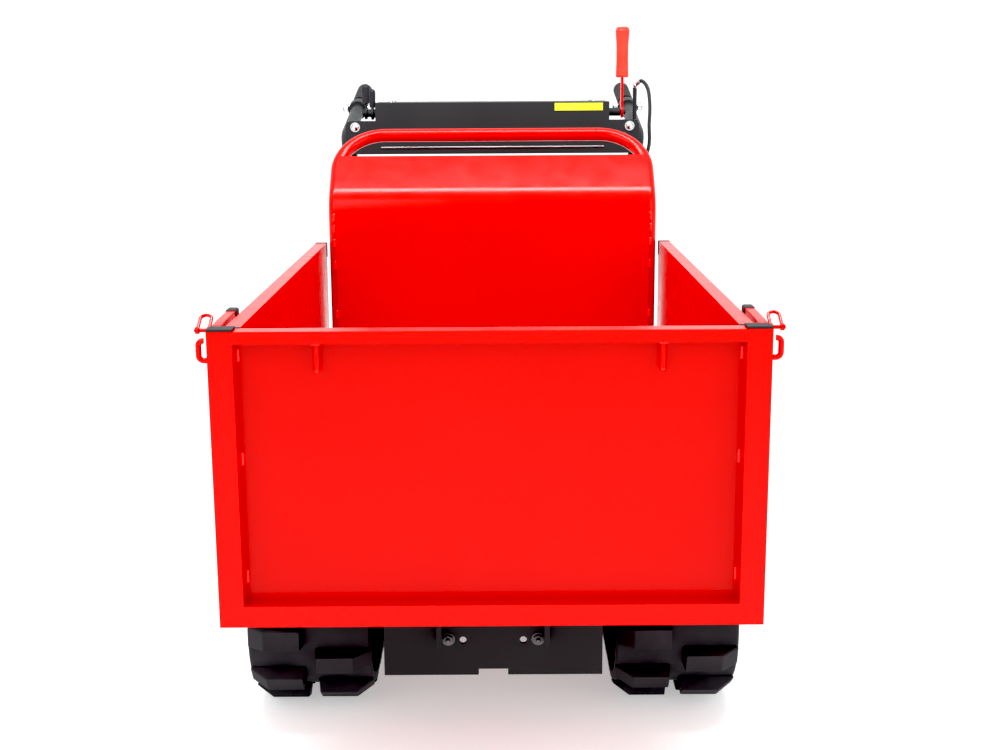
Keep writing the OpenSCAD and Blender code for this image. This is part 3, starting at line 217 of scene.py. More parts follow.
def moulded(name, light, dark, roughness, grain, depth):
    """Rubber or plastic from a mould: a little dust, a fine grain and a coarser, deeper one."""
    tree, shader, coords = new_finish(name)
    shader.inputs["Specular IOR Level"].default_value = MOULDED_GLOSS
    dust = noise(tree, coords, DUST_SCALE, 5.0)
    colour = ramp(tree, dust, dark, light, DUST_LOW, DUST_HIGH)
    tree.links.new(colour, shader.inputs["Base Color"])
    tree.links.new(spread(tree, dust, *roughness), shader.inputs["Roughness"])
    bump(tree, shader, [
        (noise(tree, coords, grain, 2.0), FINE_GRAIN, depth),
        (noise(tree, coords, grain / COARSER, 2.0), COARSE_GRAIN, depth * DEEPER),
    ])


moulded("track_rubber", (0.046, 0.045, 0.049), (0.030, 0.030, 0.033), (0.55, 0.78), 700.0, 0.0004)
moulded("soft_rubber", (0.036, 0.036, 0.039), (0.026, 0.026, 0.029), (0.48, 0.66), 900.0, 0.0003)
moulded("cable_sleeve", (0.036, 0.036, 0.039), (0.027, 0.027, 0.029), (0.36, 0.48), 1400.0, 0.0001)
moulded("black_plastic", (0.036, 0.036, 0.039), (0.028, 0.028, 0.031), (0.40, 0.54), 1100.0, 0.0002)
moulded("grip_red", (0.80, 0.062, 0.040), (0.70, 0.044, 0.028), (0.34, 0.46), 1000.0, 0.0002)
moulded("tank_red", (0.86, 0.010, 0.005), (0.78, 0.007, 0.003), (0.18, 0.26), 500.0, 0.0001)
moulded("strip_yellow", (0.94, 0.90, 0.06), (0.88, 0.83, 0.04), (0.36, 0.44), 800.0, 0.0001)
print("finishes so far:", len(finishes))


# %% Metals
STREAK_SCALE = 40.0
SAND = 0.2
ALONG_X = (0.3, 3.0, 3.0)
ALONG_Y = (2.0, 0.3, 2.0)
NO_WAY = (1.0, 1.0, 1.0)


def metal(name, light, dark, roughness, streak, grain, depth, metallic=1.0):
    """Bare metal with streaks, stretched along an axis or no way at all, over a sandy skin."""
    tree, shader, coords = new_finish(name)
    streaks = noise(tree, stretched(tree, coords, streak), STREAK_SCALE, 4.0)
    colour = ramp(tree, streaks, dark, light)
    tree.links.new(colour, shader.inputs["Base Color"])
    tree.links.new(spread(tree, streaks, *roughness), shader.inputs["Roughness"])
    shader.inputs["Metallic"].default_value = metallic
    bump(tree, shader, [(noise(tree, coords, grain, 3.0), SAND, depth)])


metal("plated_steel", (0.50, 0.51, 0.53), (0.38, 0.39, 0.41), (0.24, 0.40), ALONG_X, 500.0, 0.0002)
metal("bright_steel", (0.78, 0.79, 0.81), (0.68, 0.69, 0.71), (0.10, 0.20), ALONG_Y, 700.0, 0.0001)
metal("wheel_iron", (0.20, 0.20, 0.21), (0.09, 0.09, 0.095), (0.42, 0.62), NO_WAY, 350.0, 0.0006, 0.85)
metal("cast_alloy", (0.40, 0.41, 0.42), (0.25, 0.26, 0.27), (0.44, 0.60), NO_WAY, 320.0, 0.0006, 0.9)
metal("muffler_steel", (0.26, 0.24, 0.22), (0.14, 0.10, 0.08), (0.46, 0.64), NO_WAY, 260.0, 0.0004, 0.95)
print("finishes:", sorted(finishes))

# %% [markdown]
# ## Dress the CAD solids
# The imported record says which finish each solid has. A solid whose shape is right keeps its mesh, so only
# its material slot changes here. The pieces that replace solids later take their finish from the same
# table.

# %% Give every solid its finish
slot_of = {row["node"]: row["material_slot"] for row in frame["record"]["subparts"]}
body_of = {
    node: body
    for body, members in frame["record"]["behaviour"]["bodies"].items()
    for node in members
}
for name, solid in nodes.items():
    solid.data.materials.clear()
    solid.data.materials.append(finishes[slot_of[name]])
print("dressed:", len(nodes))

# %% [markdown]
# ## Tools for new pieces
# A new piece starts as an empty bmesh, takes one or more shapes, and becomes an object that rides on one
# of the machine's bodies. Three shapes cover most of this machine: a block with rounded edges for tubes
# and plates, a turned shape for bolts and caps, and a bent wire. A fourth helper copies a solid and
# rounds its sharp outer edges, because light on a rounded edge is what makes sheet steel look like steel.

# %% Helpers for pieces
SMALLEST = 1e-6
TOUCHING = 1e-5
FLAT_ANGLE = math.radians(1)
SHARP_ANGLE = math.radians(30)


def edges_of(verts):
    return list({edge for vert in verts for edge in vert.link_edges})


def faces_of(verts):
    return list({face for vert in verts for face in vert.link_faces})


def ends_of(edges):
    return list({vert for edge in edges for vert in edge.verts})


def only(kind, geometry):
    return [item for item in geometry if isinstance(item, kind)]


def standing(at, axis):
    """The frame of a shape that stands on a point along an axis."""
    turn = Vector((0, 0, 1)).rotation_difference(Vector(axis)).to_matrix().to_4x4()
    return Matrix.Translation(at) @ turn


def ring(count):
    """The angles of pieces set evenly round a circle, half a step from its start."""
    return [math.tau * (k + 0.5) / count for k in range(count)]


def finish_piece(name, bm, finish, body, node=None, sharp=35.0):
    """Makes the object, keeps its large faces flat beside rounded edges, and lets it ride on a body."""
    mesh = bpy.data.meshes.new(name)
    bm.to_mesh(mesh)
    bm.free()
    mesh.shade_smooth()
    mesh.set_sharp_from_angle(angle=math.radians(sharp))
    mesh.materials.append(finishes[finish])
    piece = bpy.data.objects.new(name, mesh)
    bpy.context.scene.collection.objects.link(piece)
    piece.modifiers.new("flat_faces", "WEIGHTED_NORMAL").keep_sharp = True
    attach(piece, body)
    if node:
        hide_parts(node)
    print(name, len(mesh.polygons), "faces")


def round_edges(bm, edges, radius, segments=2):
    bmesh.ops.bevel(
        bm, geom=edges, offset=radius, offset_type="OFFSET", affect="EDGES", segments=segments,
        profile=0.5, clamp_overlap=True, material=-1,
    )


def rounded_block(bm, low, high, radius, segments=3):
    """A block between two corners, with rounded edges."""
    low, high = Vector(low), Vector(high)
    made = bmesh.ops.create_cube(bm, size=1.0)["verts"]
    bmesh.ops.scale(bm, vec=high - low, verts=made)
    bmesh.ops.translate(bm, vec=(low + high) / 2, verts=made)
    round_edges(bm, edges_of(made), radius, segments)


def turned(bm, profile, at, axis, steps=24):
    """A shape spun from pairs of radius and height, standing on a point along an axis."""
    known = set(bm.verts)
    verts = [bm.verts.new((radius, 0, height)) for radius, height in profile]
    edges = [bm.edges.new(pair) for pair in zip(verts, verts[1:])]
    bmesh.ops.spin(
        bm, geom=verts + edges, cent=(0, 0, 0), axis=(0, 0, 1), angle=math.tau, steps=steps,
        use_merge=True,
    )
    made = [vert for vert in bm.verts if vert not in known]
    bmesh.ops.remove_doubles(bm, verts=made, dist=SMALLEST)
    made = [vert for vert in bm.verts if vert not in known]
    bmesh.ops.recalc_face_normals(bm, faces=faces_of(made))
    bmesh.ops.transform(bm, matrix=standing(at, axis), verts=made)


def wire(bm, points, radius):
    """A round wire along a smooth curve through points."""
    curve = bpy.data.curves.new("wire", "CURVE")
    curve.dimensions = "3D"
    curve.bevel_depth = radius
    curve.bevel_resolution = 3
    curve.resolution_u = 8
    curve.use_fill_caps = True
    spline = curve.splines.new("BEZIER")
    spline.bezier_points.add(len(points) - 1)
    for knot, point in zip(spline.bezier_points, points):
        knot.co = point
        knot.handle_left_type = "AUTO"
        knot.handle_right_type = "AUTO"
    shown = bpy.data.objects.new("wire", curve)
    bpy.context.scene.collection.objects.link(shown)
    mesh = bpy.data.meshes.new_from_object(shown)
    bm.from_mesh(mesh)
    bpy.data.objects.remove(shown)
    bpy.data.curves.remove(curve)
    bpy.data.meshes.remove(mesh)


def soften(node, radius):
    """A copy of a solid with its sharp outer edges rounded, which stands for the solid."""
    bm = bmesh.new()
    bm.from_mesh(nodes[node].data)
    bmesh.ops.remove_doubles(bm, verts=bm.verts, dist=TOUCHING)
    bmesh.ops.dissolve_limit(
        bm, angle_limit=FLAT_ANGLE, verts=bm.verts, edges=bm.edges, use_dissolve_boundaries=False,
        delimit=set(),
    )
    edges = [
        edge for edge in bm.edges
        if len(edge.link_faces) == 2 and edge.is_convex and edge.calc_face_angle() > SHARP_ANGLE
    ]
    round_edges(bm, edges, radius)
    finish_piece(f"{node}_skin", bm, slot_of[node], body_of[node], node)


# %% [markdown]
# ## Welded panels and folded sheets
# The gate and the sides are welded from rectangular tube, which has rounded corners, and the console and
# the front plate are folded from sheet with dressed edges. Their solids already have the right faces, so
# each one is copied and only its outer edges are rounded. The castings and brackets get the same, each by
# its own radius.

# %% Round the edges of the steelwork
for node, radius in (
    ("front_gate", 0.002), ("left_side", 0.002), ("right_side", 0.002), ("bed_frame", 0.0012),
    ("console_panel", 0.001), ("front_plate", 0.001), ("gate_caps", 0.001),
    ("left_latch_lever", 0.001), ("right_latch_lever", 0.001), ("chassis_rails", 0.0015),
    ("engine_deck", 0.001), ("cross_tubes", 0.0015), ("drive_lever", 0.001), ("muffler", 0.002),
    ("gearbox", 0.003), ("crankcase", 0.003), ("cylinder_block", 0.0012), ("starter_grip", 0.002),
    ("left_track_frame", 0.001), ("right_track_frame", 0.001), ("shaft_bearings", 0.0015),
):
    soften(node, radius)

# %% [markdown]
# ## Rubber tracks
# Each track is one moulded loop round two wheels. The belt is drawn as one cross section, pulled along
# the straight runs and spun round the wheels, which is how the loop is made up. The tread lugs and the
# guide horns are one small shape each, copied round the loop, with the lugs of the two halves staggered
# by half a link.

# %% The loop and its belt
TRACK_X = 0.27
LOOP_R = 0.095
BELT = 0.016
BELT_HALF = 0.090
BELT_EDGE = 0.003
CHANNEL_HALF = 0.015
CHANNEL_DEEP = 0.0085
WHEEL_Z = 0.133
ARC_LINKS = 5
RUN_LINKS = 12.5
LINKS = int(2 * (ARC_LINKS + RUN_LINKS))
ARC = math.pi * (LOOP_R + BELT / 2)
LINK = ARC / ARC_LINKS
RUN = RUN_LINKS * LINK
IDLER_Y = -0.417
SPROCKET_Y = IDLER_Y + RUN
ARC_STEPS = 24


def pulled(bm, edges, move):
    """Pulls edges into faces, and gives the far edges."""
    made = bmesh.ops.extrude_edge_only(bm, edges=edges)["geom"]
    bmesh.ops.translate(bm, vec=move, verts=only(bmesh.types.BMVert, made))
    return only(bmesh.types.BMEdge, made)


def swung(bm, edges, centre, angle, steps):
    """Spins edges into faces about an axis across the machine, and gives the last edges."""
    made = bmesh.ops.spin(
        bm, geom=ends_of(edges) + edges, cent=centre, axis=(-1, 0, 0), angle=angle, steps=steps,
    )["geom_last"]
    return only(bmesh.types.BMEdge, made)


def belt_loop(bm, x):
    rim = BELT_HALF - BELT_EDGE
    right_half = (
        (rim, BELT), (BELT_HALF, BELT - BELT_EDGE), (BELT_HALF, BELT_EDGE), (rim, 0), (CHANNEL_HALF, 0),
        (CHANNEL_HALF, CHANNEL_DEEP),
    )
    section = right_half + tuple((-across, out) for across, out in reversed(right_half))
    verts = [bm.verts.new((x + across, IDLER_Y, WHEEL_Z + LOOP_R + out)) for across, out in section]
    edges = [bm.edges.new((vert, verts[i - 1])) for i, vert in enumerate(verts)]
    edges = pulled(bm, edges, (0, RUN, 0))
    edges = swung(bm, edges, (0, SPROCKET_Y, WHEEL_Z), math.pi, ARC_STEPS)
    edges = pulled(bm, edges, (0, -RUN, 0))
    swung(bm, edges, (0, IDLER_Y, WHEEL_Z), math.pi, ARC_STEPS)
    bmesh.ops.remove_doubles(bm, verts=bm.verts, dist=TOUCHING)
    bmesh.ops.recalc_face_normals(bm, faces=bm.faces)


def on_loop(links):
    """Where a link's middle lies: its frame has z pointing out of the loop."""
    along = links * LINK
    if along < RUN:
        return Matrix.Translation((0, IDLER_Y + along, WHEEL_Z + LOOP_R))
    if along < RUN + ARC:
        turn = Matrix.Rotation(-math.pi * (along - RUN) / ARC, 4, "X")
        return Matrix.Translation((0, SPROCKET_Y, WHEEL_Z)) @ turn @ Matrix.Translation((0, 0, LOOP_R))
    if along < 2 * RUN + ARC:
        flip = Matrix.Rotation(math.pi, 4, "X")
        return Matrix.Translation((0, SPROCKET_Y - (along - RUN - ARC), WHEEL_Z - LOOP_R)) @ flip
    turn = Matrix.Rotation(-math.pi - math.pi * (along - 2 * RUN - ARC) / ARC, 4, "X")
    return Matrix.Translation((0, IDLER_Y, WHEEL_Z)) @ turn @ Matrix.Translation((0, 0, LOOP_R))


# %% Lugs and horns round the loop
LUG_FOOT = 0.0145
LUG_SHOULDER = 0.019
LUG_TOP = 0.038
LUG_ACROSS = (0.008, 0.0895)
LUG_TOP_ACROSS = (0.011, 0.064)
LUG_LONG = 0.030
LUG_ROUND = 0.0022
LUG_DISH = 0.0018
DISH_RIM = 0.007
HORN_FOOT = 0.003
HORN_TIP = -0.016
HORN_ACROSS = (0.023, 0.039)
HORN_TIP_ACROSS = (0.025, 0.035)
HORN_LONG = 0.018
HORN_ROUND = 0.0018


def prism(name, outline, length, radius, dish=0.0):
    """A moulded bar: an outline across the track, pulled along it, with rounded edges."""
    bm = bmesh.new()
    face = bm.faces.new([bm.verts.new((across, -length / 2, out)) for across, out in outline])
    made = bmesh.ops.extrude_face_region(bm, geom=[face])["geom"]
    bmesh.ops.translate(bm, vec=(0, length, 0), verts=only(bmesh.types.BMVert, made))
    bmesh.ops.recalc_face_normals(bm, faces=bm.faces)
    if dish:
        crown = max(bm.faces, key=lambda side: side.calc_center_median().z)
        bmesh.ops.inset_region(bm, faces=[crown], thickness=DISH_RIM, depth=-dish)
    round_edges(bm, [edge for edge in bm.edges if edge.calc_face_angle() > SHARP_ANGLE], radius)
    mesh = bpy.data.meshes.new(name)
    bm.to_mesh(mesh)
    bm.free()
    return mesh


def stamp(bm, mesh, place, mirrored):
    """Sets a copy of a small shape on the loop, as it is or mirrored to the other half."""
    known = set(bm.verts)
    bm.from_mesh(mesh)
    made = [vert for vert in bm.verts if vert not in known]
    if mirrored:
        bmesh.ops.scale(bm, vec=(-1, 1, 1), verts=made)
        bmesh.ops.reverse_faces(bm, faces=faces_of(made))
    bmesh.ops.transform(bm, matrix=place, verts=made)


lug = prism("tread_lug", [
    (LUG_ACROSS[0], LUG_FOOT), (LUG_ACROSS[1], LUG_FOOT), (LUG_ACROSS[1], LUG_SHOULDER),
    (LUG_TOP_ACROSS[1], LUG_TOP), (LUG_TOP_ACROSS[0], LUG_TOP),
], LUG_LONG, LUG_ROUND, LUG_DISH)
horn = prism("guide_horn", [
    (HORN_ACROSS[0], HORN_FOOT), (HORN_ACROSS[1], HORN_FOOT),
    (HORN_TIP_ACROSS[1], HORN_TIP), (HORN_TIP_ACROSS[0], HORN_TIP),
], HORN_LONG, HORN_ROUND)
for side, name in ((-1, "left_track"), (1, "right_track")):
    bm = bmesh.new()
    belt_loop(bm, side * TRACK_X)
    shift = Matrix.Translation((side * TRACK_X, 0, 0))
    for n in range(LINKS):
        stamp(bm, lug, shift @ on_loop(n), False)
        stamp(bm, lug, shift @ on_loop(n + 0.5), True)
        stamp(bm, horn, shift @ on_loop(n), False)
        stamp(bm, horn, shift @ on_loop(n), True)
    finish_piece(f"{name}_moulding", bm, "track_rubber", "chassis", name, sharp=40.0)

# %% [markdown]
# ## The headboard's sheet
# The headboard is one sheet, folded back near its top and welded to the front of the hoop, so that only a
# sliver of the tube shows beside it. It could be a flat grid bent by a modifier, but it starts here as
# one edge across the bed: pulled up, swung through the fold and pulled on to its top, just as a press
# folds the sheet.

# %% Fold the headboard's sheet
HOOP_X = 0.283
HOOP_Y = 0.083
HOOP_R = 0.012
BEND_Z = 0.712
BEND_R = 0.055
BEND_STEPS = 12
LEAN = math.radians(45)
LEAN_UP = Vector((0, math.sin(LEAN), math.cos(LEAN)))
SHEET_TOP = 0.098
SHEET = 0.002
TOP_NARROWED = 0.99
RIM_ANGLE = math.radians(60)
RIM_R = 0.0006
fold_half = BEND_R * math.tan(LEAN / 2)
fold_z = BEND_Z - fold_half
tube_front = HOOP_Y - HOOP_R
headboard_y = tube_front - SHEET
foot_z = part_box("headboard_panel")[0][2]
bm = bmesh.new()
foot = bm.edges.new([bm.verts.new((x, headboard_y, foot_z)) for x in (-HOOP_X, HOOP_X)])
edges = pulled(bm, [foot], (0, 0, fold_z - foot_z))
edges = swung(bm, edges, (0, HOOP_Y + BEND_R, fold_z), LEAN, BEND_STEPS)
edges = pulled(bm, edges, LEAN_UP * (SHEET_TOP - fold_half))
bmesh.ops.scale(bm, vec=(TOP_NARROWED, 1, 1), verts=ends_of(edges))
bmesh.ops.remove_doubles(bm, verts=bm.verts, dist=TOUCHING)
bm.normal_update()
bm.faces.ensure_lookup_table()
if bm.faces[0].normal.y > 0:
    bmesh.ops.reverse_faces(bm, faces=bm.faces)
bmesh.ops.solidify(bm, geom=bm.faces, thickness=SHEET)
round_edges(bm, [edge for edge in bm.edges if edge.calc_face_angle() > RIM_ANGLE], RIM_R)
print("the sheet lies at", round(headboard_y, 4), "and the tube starts at", round(tube_front, 4))
finish_piece("headboard_sheet", bm, "red_paint", "bed", "headboard_panel")

# %% [markdown]
# ## Plugs, dipped ends and welds
# Open tube ends are closed with black plastic plugs, the latch levers have a dipped black end, and short
# welds hold the gate's sheet to its posts and the headboard to its hoop. A weld is a row of small
# overlapping beads, so it is made of flattened balls set a little way apart.

# %% Plugs and lever ends
SIDE_RAIL_X = 0.3115
RAIL_FEET = (0.613, 0.296)
RAIL_HIGH = 0.025
PLUG_RIM = 0.0008
PLUG_HALF = 0.0108
PLUG_ENDS = ((-0.7942, -0.787), (0.088, 0.0965))
PLUG_ROUND = 0.0018
LATCH_X = 0.3315
DIP_HALF = 0.0072
DIP_ALONG = (-0.690, -0.667)
DIP_HEIGHT = (0.6325, 0.6435)
DIP_ROUND = 0.003
for side, body in ((-1, "left_side"), (1, "right_side")):
    bm = bmesh.new()
    x = side * SIDE_RAIL_X
    for front, back in PLUG_ENDS:
        for foot in RAIL_FEET:
            low = (x - PLUG_HALF, front, foot - PLUG_RIM)
            high = (x + PLUG_HALF, back, foot + RAIL_HIGH + PLUG_RIM)
            rounded_block(bm, low, high, PLUG_ROUND)
    finish_piece(f"{body}_plugs", bm, "black_plastic", body)
for side, body in ((-1, "left_latch"), (1, "right_latch")):
    bm = bmesh.new()
    x = side * LATCH_X
    low = (x - DIP_HALF, DIP_ALONG[0], DIP_HEIGHT[0])
    high = (x + DIP_HALF, DIP_ALONG[1], DIP_HEIGHT[1])
    rounded_block(bm, low, high, DIP_ROUND)
    finish_piece(f"{body}_dip", bm, "black_plastic", body)

# %% Welds on the gate and the headboard
GATE_Y = -0.82
GATE_SHEET_Y = -0.798
POST_X = 0.3052
POST_WELDS = (0.606, 0.476, 0.324)
POST_WELD_HALF = 0.006
POST_BEAD = 0.0034
CORNER_X = 0.3065
CORNER_Y = GATE_Y + 0.001
CORNER_WELDS = ((0.624, 0.636, 7), (0.267, 0.291, 12))
CORNER_BEAD = 0.0016
HOOK_X = 0.208
HOOK_WELD_Y = -0.8135
HOOK_WELD_Z = 0.6215
HOOK_WELD_HALF = 0.004
HOOK_BEAD = 0.0022
HOOP_WELD_X = HOOP_X + 0.001
HOOP_WELDS = (0.335, 0.42, 0.51, 0.60, 0.64, 0.665, 0.686)
HOOP_WELD_HALF = 0.005
HOOP_BEAD = 0.0028
BEAD_FLAT = 0.6


def weld(bm, start, end, radius, beads):
    """A row of beads from one point to another."""
    start, end = Vector(start), Vector(end)
    for k in range(beads):
        made = bmesh.ops.create_icosphere(bm, subdivisions=2, radius=radius)["verts"]
        bmesh.ops.scale(bm, vec=(1.0, BEAD_FLAT, 1.0), verts=made)
        bmesh.ops.translate(bm, vec=start.lerp(end, k / (beads - 1)), verts=made)


def upright_weld(bm, x, y, low, high, radius, beads):
    weld(bm, (x, y, low), (x, y, high), radius, beads)


# The beads take the lighter weld red, a painted highlight on each bead.
bm = bmesh.new()
for side in (-1, 1):
    for z in POST_WELDS:
        upright_weld(bm, side * POST_X, GATE_SHEET_Y, z - POST_WELD_HALF, z + POST_WELD_HALF, POST_BEAD, 5)
    for low, high, beads in CORNER_WELDS:
        upright_weld(bm, side * CORNER_X, CORNER_Y, low, high, CORNER_BEAD, beads)
    hook = Vector((side * HOOK_X, HOOK_WELD_Y, HOOK_WELD_Z))
    reach = Vector((side * HOOK_WELD_HALF, 0, 0))
    weld(bm, hook - reach, hook + reach, HOOK_BEAD, 4)
finish_piece("gate_welds", bm, "weld_paint_painted_highlight", "gate", sharp=60.0)
bm = bmesh.new()
for x in (-HOOP_WELD_X, HOOP_WELD_X):
    for z in HOOP_WELDS:
        upright_weld(bm, x, headboard_y, z - HOOP_WELD_HALF, z + HOOP_WELD_HALF, HOOP_BEAD, 4)
finish_piece("headboard_welds", bm, "weld_paint_painted_highlight", "bed", sharp=60.0)

# %% Round ends of the gate's hooks
HOOK_R = 0.004
HOOK_END_Y = -0.8095
HOOK_END_Z = 0.589
DOME_STEPS = (0, 0.4, 0.8, 1.2)
# The round ends take the lighter weld red, a painted highlight on each end.
bm = bmesh.new()
dome = [(HOOK_R * math.cos(a), HOOK_R * math.sin(a)) for a in DOME_STEPS] + [(0, HOOK_R)]
for x in (-HOOK_X, HOOK_X):
    turned(bm, dome, (x, HOOK_END_Y, HOOK_END_Z), (0, 0, -1), 16)
finish_piece("hook_ends", bm, "weld_paint_painted_highlight", "gate", sharp=60.0)

# %% [markdown]
# ## Bolts
# The machine is bolted together with plated hexagon bolts on washers, and with dome-headed bolts where a
# hand might touch them. One function of each kind makes them all, in shares of the size of the head: it
# is told where a bolt sits and which way it points. A hexagon head is sized across its flats.

# %% Bolts and washers
M5_HEAD = 0.008
M6_HEAD = 0.010
M8_HEAD = 0.013
M12_HEAD = 0.019
WASHER = 0.0016
WASHER_SHARE = 1.45
CORNER_SHARE = 1.15
HEAD_HIGH_SHARE = 0.4
HEAD_ROUND_SHARE = 0.04
STUD_SHARE = 0.55
STUD_TIP_SHARE = 0.4
STUD_CHAMFER = 0.001
DOME_FLANGE = 0.001
DOME_FLANGE_SHARE = 1.25
DOME_HIGH_SHARE = 0.6


def hex_bolt(bm, at, axis, across, stud=0.0):
    """A hexagon head on a washer, with the end of a stud if it stands out."""
    radius = across / 2
    high = across * HEAD_HIGH_SHARE
    rim = radius * WASHER_SHARE
    turned(bm, [(0, 0), (rim, 0), (rim, WASHER), (0, WASHER)], at, axis)
    known = set(bm.verts)
    corner = radius * CORNER_SHARE
    bmesh.ops.create_cone(bm, cap_ends=True, segments=6, radius1=corner, radius2=corner, depth=high)
    made = [vert for vert in bm.verts if vert not in known]
    round_edges(bm, edges_of(made), across * HEAD_ROUND_SHARE)
    made = [vert for vert in bm.verts if vert not in known]
    up = Matrix.Translation((0, 0, WASHER + high / 2))
    bmesh.ops.transform(bm, matrix=standing(at, axis) @ up, verts=made)
    if stud:
        top = WASHER + high + stud
        shank = radius * STUD_SHARE
        profile = [(shank, 0), (shank, top - STUD_CHAMFER), (radius * STUD_TIP_SHARE, top), (0, top)]
        turned(bm, profile, at, axis, 16)


def dome_bolt(bm, at, axis, radius):
    """A round head with a thin flange."""
    high = radius * DOME_HIGH_SHARE
    rim = radius * DOME_FLANGE_SHARE
    arc = [(radius * math.cos(a), DOME_FLANGE + high * math.sin(a)) for a in DOME_STEPS]
    turned(bm, [(0, 0), (rim, 0), (rim, DOME_FLANGE)] + arc + [(0, DOME_FLANGE + high)], at, axis)


CONSOLE_Y = 0.35
EAR_X = 0.27
EAR_BOLT_Z = 0.836
EAR_BOLT_R = 0.0075
bm = bmesh.new()
for x in (-EAR_X, EAR_X):
    dome_bolt(bm, (x, CONSOLE_Y, EAR_BOLT_Z), (0, -1, 0), EAR_BOLT_R)
finish_piece("console_bolts", bm, "bright_steel", "chassis")

PLATE_Y = -0.58
PLATE_BOLT_X = 0.064
PLATE_BOLT_Z = 0.149
PLATE_STUD = 0.006
bm = bmesh.new()
for x in (-PLATE_BOLT_X, PLATE_BOLT_X):
    hex_bolt(bm, (x, PLATE_Y, PLATE_BOLT_Z), (0, -1, 0), M8_HEAD, PLATE_STUD)
finish_piece("plate_bolts", bm, "wheel_iron", "chassis")

# %% [markdown]
# ## The console's strip and lip
# A plain yellow strip lies along the top of the console's face, on the right. Near its lower edge the face
# has a thin lip of plated steel. It is a painted highlight for the light that the black hem catches, and it
# shows through the hand slot. Both are thin bars with eased edges, set a little way into the face, because
# a bar that only touched it would show a dark seam.

# %% Yellow strip and the lip's painted highlight
STRIP_ACROSS = (0.1225, 0.217)
STRIP_HEIGHT = (0.866, 0.8805)
STRIP_OUT = 0.0008
STRIP_IN = 0.0002
STRIP_ROUND = 0.0003
bm = bmesh.new()
low = (STRIP_ACROSS[0], CONSOLE_Y - STRIP_OUT, STRIP_HEIGHT[0])
high = (STRIP_ACROSS[1], CONSOLE_Y + STRIP_IN, STRIP_HEIGHT[1])
rounded_block(bm, low, high, STRIP_ROUND, 1)
finish_piece("console_strip", bm, "strip_yellow", "chassis")

# The lip is plated steel on a black face. It is a painted highlight for the line of light along the hem.
LIP_X = 0.22
LIP_Z = 0.796
LIP_R = 0.0016
LIP_ROUND = LIP_R * 0.7
bm = bmesh.new()
low = (-LIP_X, CONSOLE_Y - LIP_R, LIP_Z - LIP_R)
high = (LIP_X, CONSOLE_Y + LIP_R / 2, LIP_Z + LIP_R)
rounded_block(bm, low, high, LIP_ROUND)
finish_piece("console_lip_highlight", bm, "plated_steel", "chassis")

# %% [markdown]
# ## Small fittings of the engine
# The engine sits behind the headboard, where the camera can't see it, but the operator can. Bolts hold
# its feet, its starter and the belt cover, a plug and its lead stand on the cylinder head, and a filler
# plug, a stop switch and a fuel line show what the castings are for. Round fittings are turned from a
# profile, and the lead and the line are wires through a few points.

# %% Bolts on the engine and the drive
ENGINE_Y = 0.306
ENGINE_Z = 0.415
ENGINE_FOOT_X = 0.099
ENGINE_FOOT_TOP = 0.314
ENGINE_FEET_Y = (ENGINE_Y - 0.103, ENGINE_Y + 0.112)
CASE_X = 0.096
CASE_RING = 0.074
GEARBOX_SIDE = 0.076
GEARBOX_BOLTS = ((0.322, 0.108), (0.462, 0.108), (0.468, 0.150), (0.475, 0.226), (0.43, 0.270))
COVER_X = 0.1765
COVER_BOLTS = ((0.306, 0.463), (0.272, 0.385), (0.43, 0.188), (0.505, 0.262))
COVER_BOLT_R = 0.006
STARTER_X = -0.1305
STARTER_RING = 0.0855
STARTER_SPLAY = 0.3
STARTER_BOLT_R = 0.0045


def round_engine(x, radius, turn):
    """A place on a circle round the crankshaft."""
    return (x, ENGINE_Y + radius * math.cos(turn), ENGINE_Z + radius * math.sin(turn))


bm = bmesh.new()
for x in (-ENGINE_FOOT_X, ENGINE_FOOT_X):
    for y in ENGINE_FEET_Y:
        hex_bolt(bm, (x, y, ENGINE_FOOT_TOP), (0, 0, 1), M6_HEAD)
for turn in ring(8):
    hex_bolt(bm, round_engine(CASE_X, CASE_RING, turn), (1, 0, 0), M5_HEAD)
for y, z in GEARBOX_BOLTS:
    for side in (-1, 1):
        hex_bolt(bm, (side * GEARBOX_SIDE, y, z), (side, 0, 0), M5_HEAD)
finish_piece("engine_bolts", bm, "plated_steel", "chassis")
bm = bmesh.new()
for y, z in COVER_BOLTS:
    dome_bolt(bm, (COVER_X, y, z), (1, 0, 0), COVER_BOLT_R)
for turn in ring(4):
    axis = (-1, STARTER_SPLAY * math.cos(turn), STARTER_SPLAY * math.sin(turn))
    dome_bolt(bm, round_engine(STARTER_X, STARTER_RING, turn), axis, STARTER_BOLT_R)
finish_piece("cover_bolts", bm, "bright_steel", "chassis")

# %% Plug and lead
HEAD = Vector((-0.01, 0.153, 0.546))
HEAD_UP = Vector((0, 0.4226, 0.9063))
SPARK_PROFILE = [(0, -0.002), (0.010, -0.002), (0.010, 0.004), (0.0075, 0.006), (0.0075, 0.016), (0, 0.016)]
BOOT_PROFILE = [
    (0, 0), (0.009, 0), (0.0105, 0.003), (0.0085, 0.007), (0.0085, 0.026), (0.006, 0.031), (0, 0.031),
]
BOOT_UP = 0.012
LEAD_UP = 0.024
LEAD_R = 0.0035
boot_foot = HEAD + HEAD_UP * BOOT_UP
lead_start = boot_foot + HEAD_UP * LEAD_UP
lead = [
    lead_start, lead_start + Vector((-0.03, 0.004, 0.006)), (-0.075, 0.190, 0.548), (-0.104, 0.236, 0.520),
    (-0.112, 0.262, 0.492), (-0.112, 0.270, 0.478),
]
bm = bmesh.new()
turned(bm, SPARK_PROFILE, HEAD, HEAD_UP)
finish_piece("plug_body", bm, "plated_steel", "chassis")
bm = bmesh.new()
turned(bm, BOOT_PROFILE, boot_foot, HEAD_UP)
wire(bm, lead, LEAD_R)
finish_piece("plug_lead", bm, "soft_rubber", "chassis")

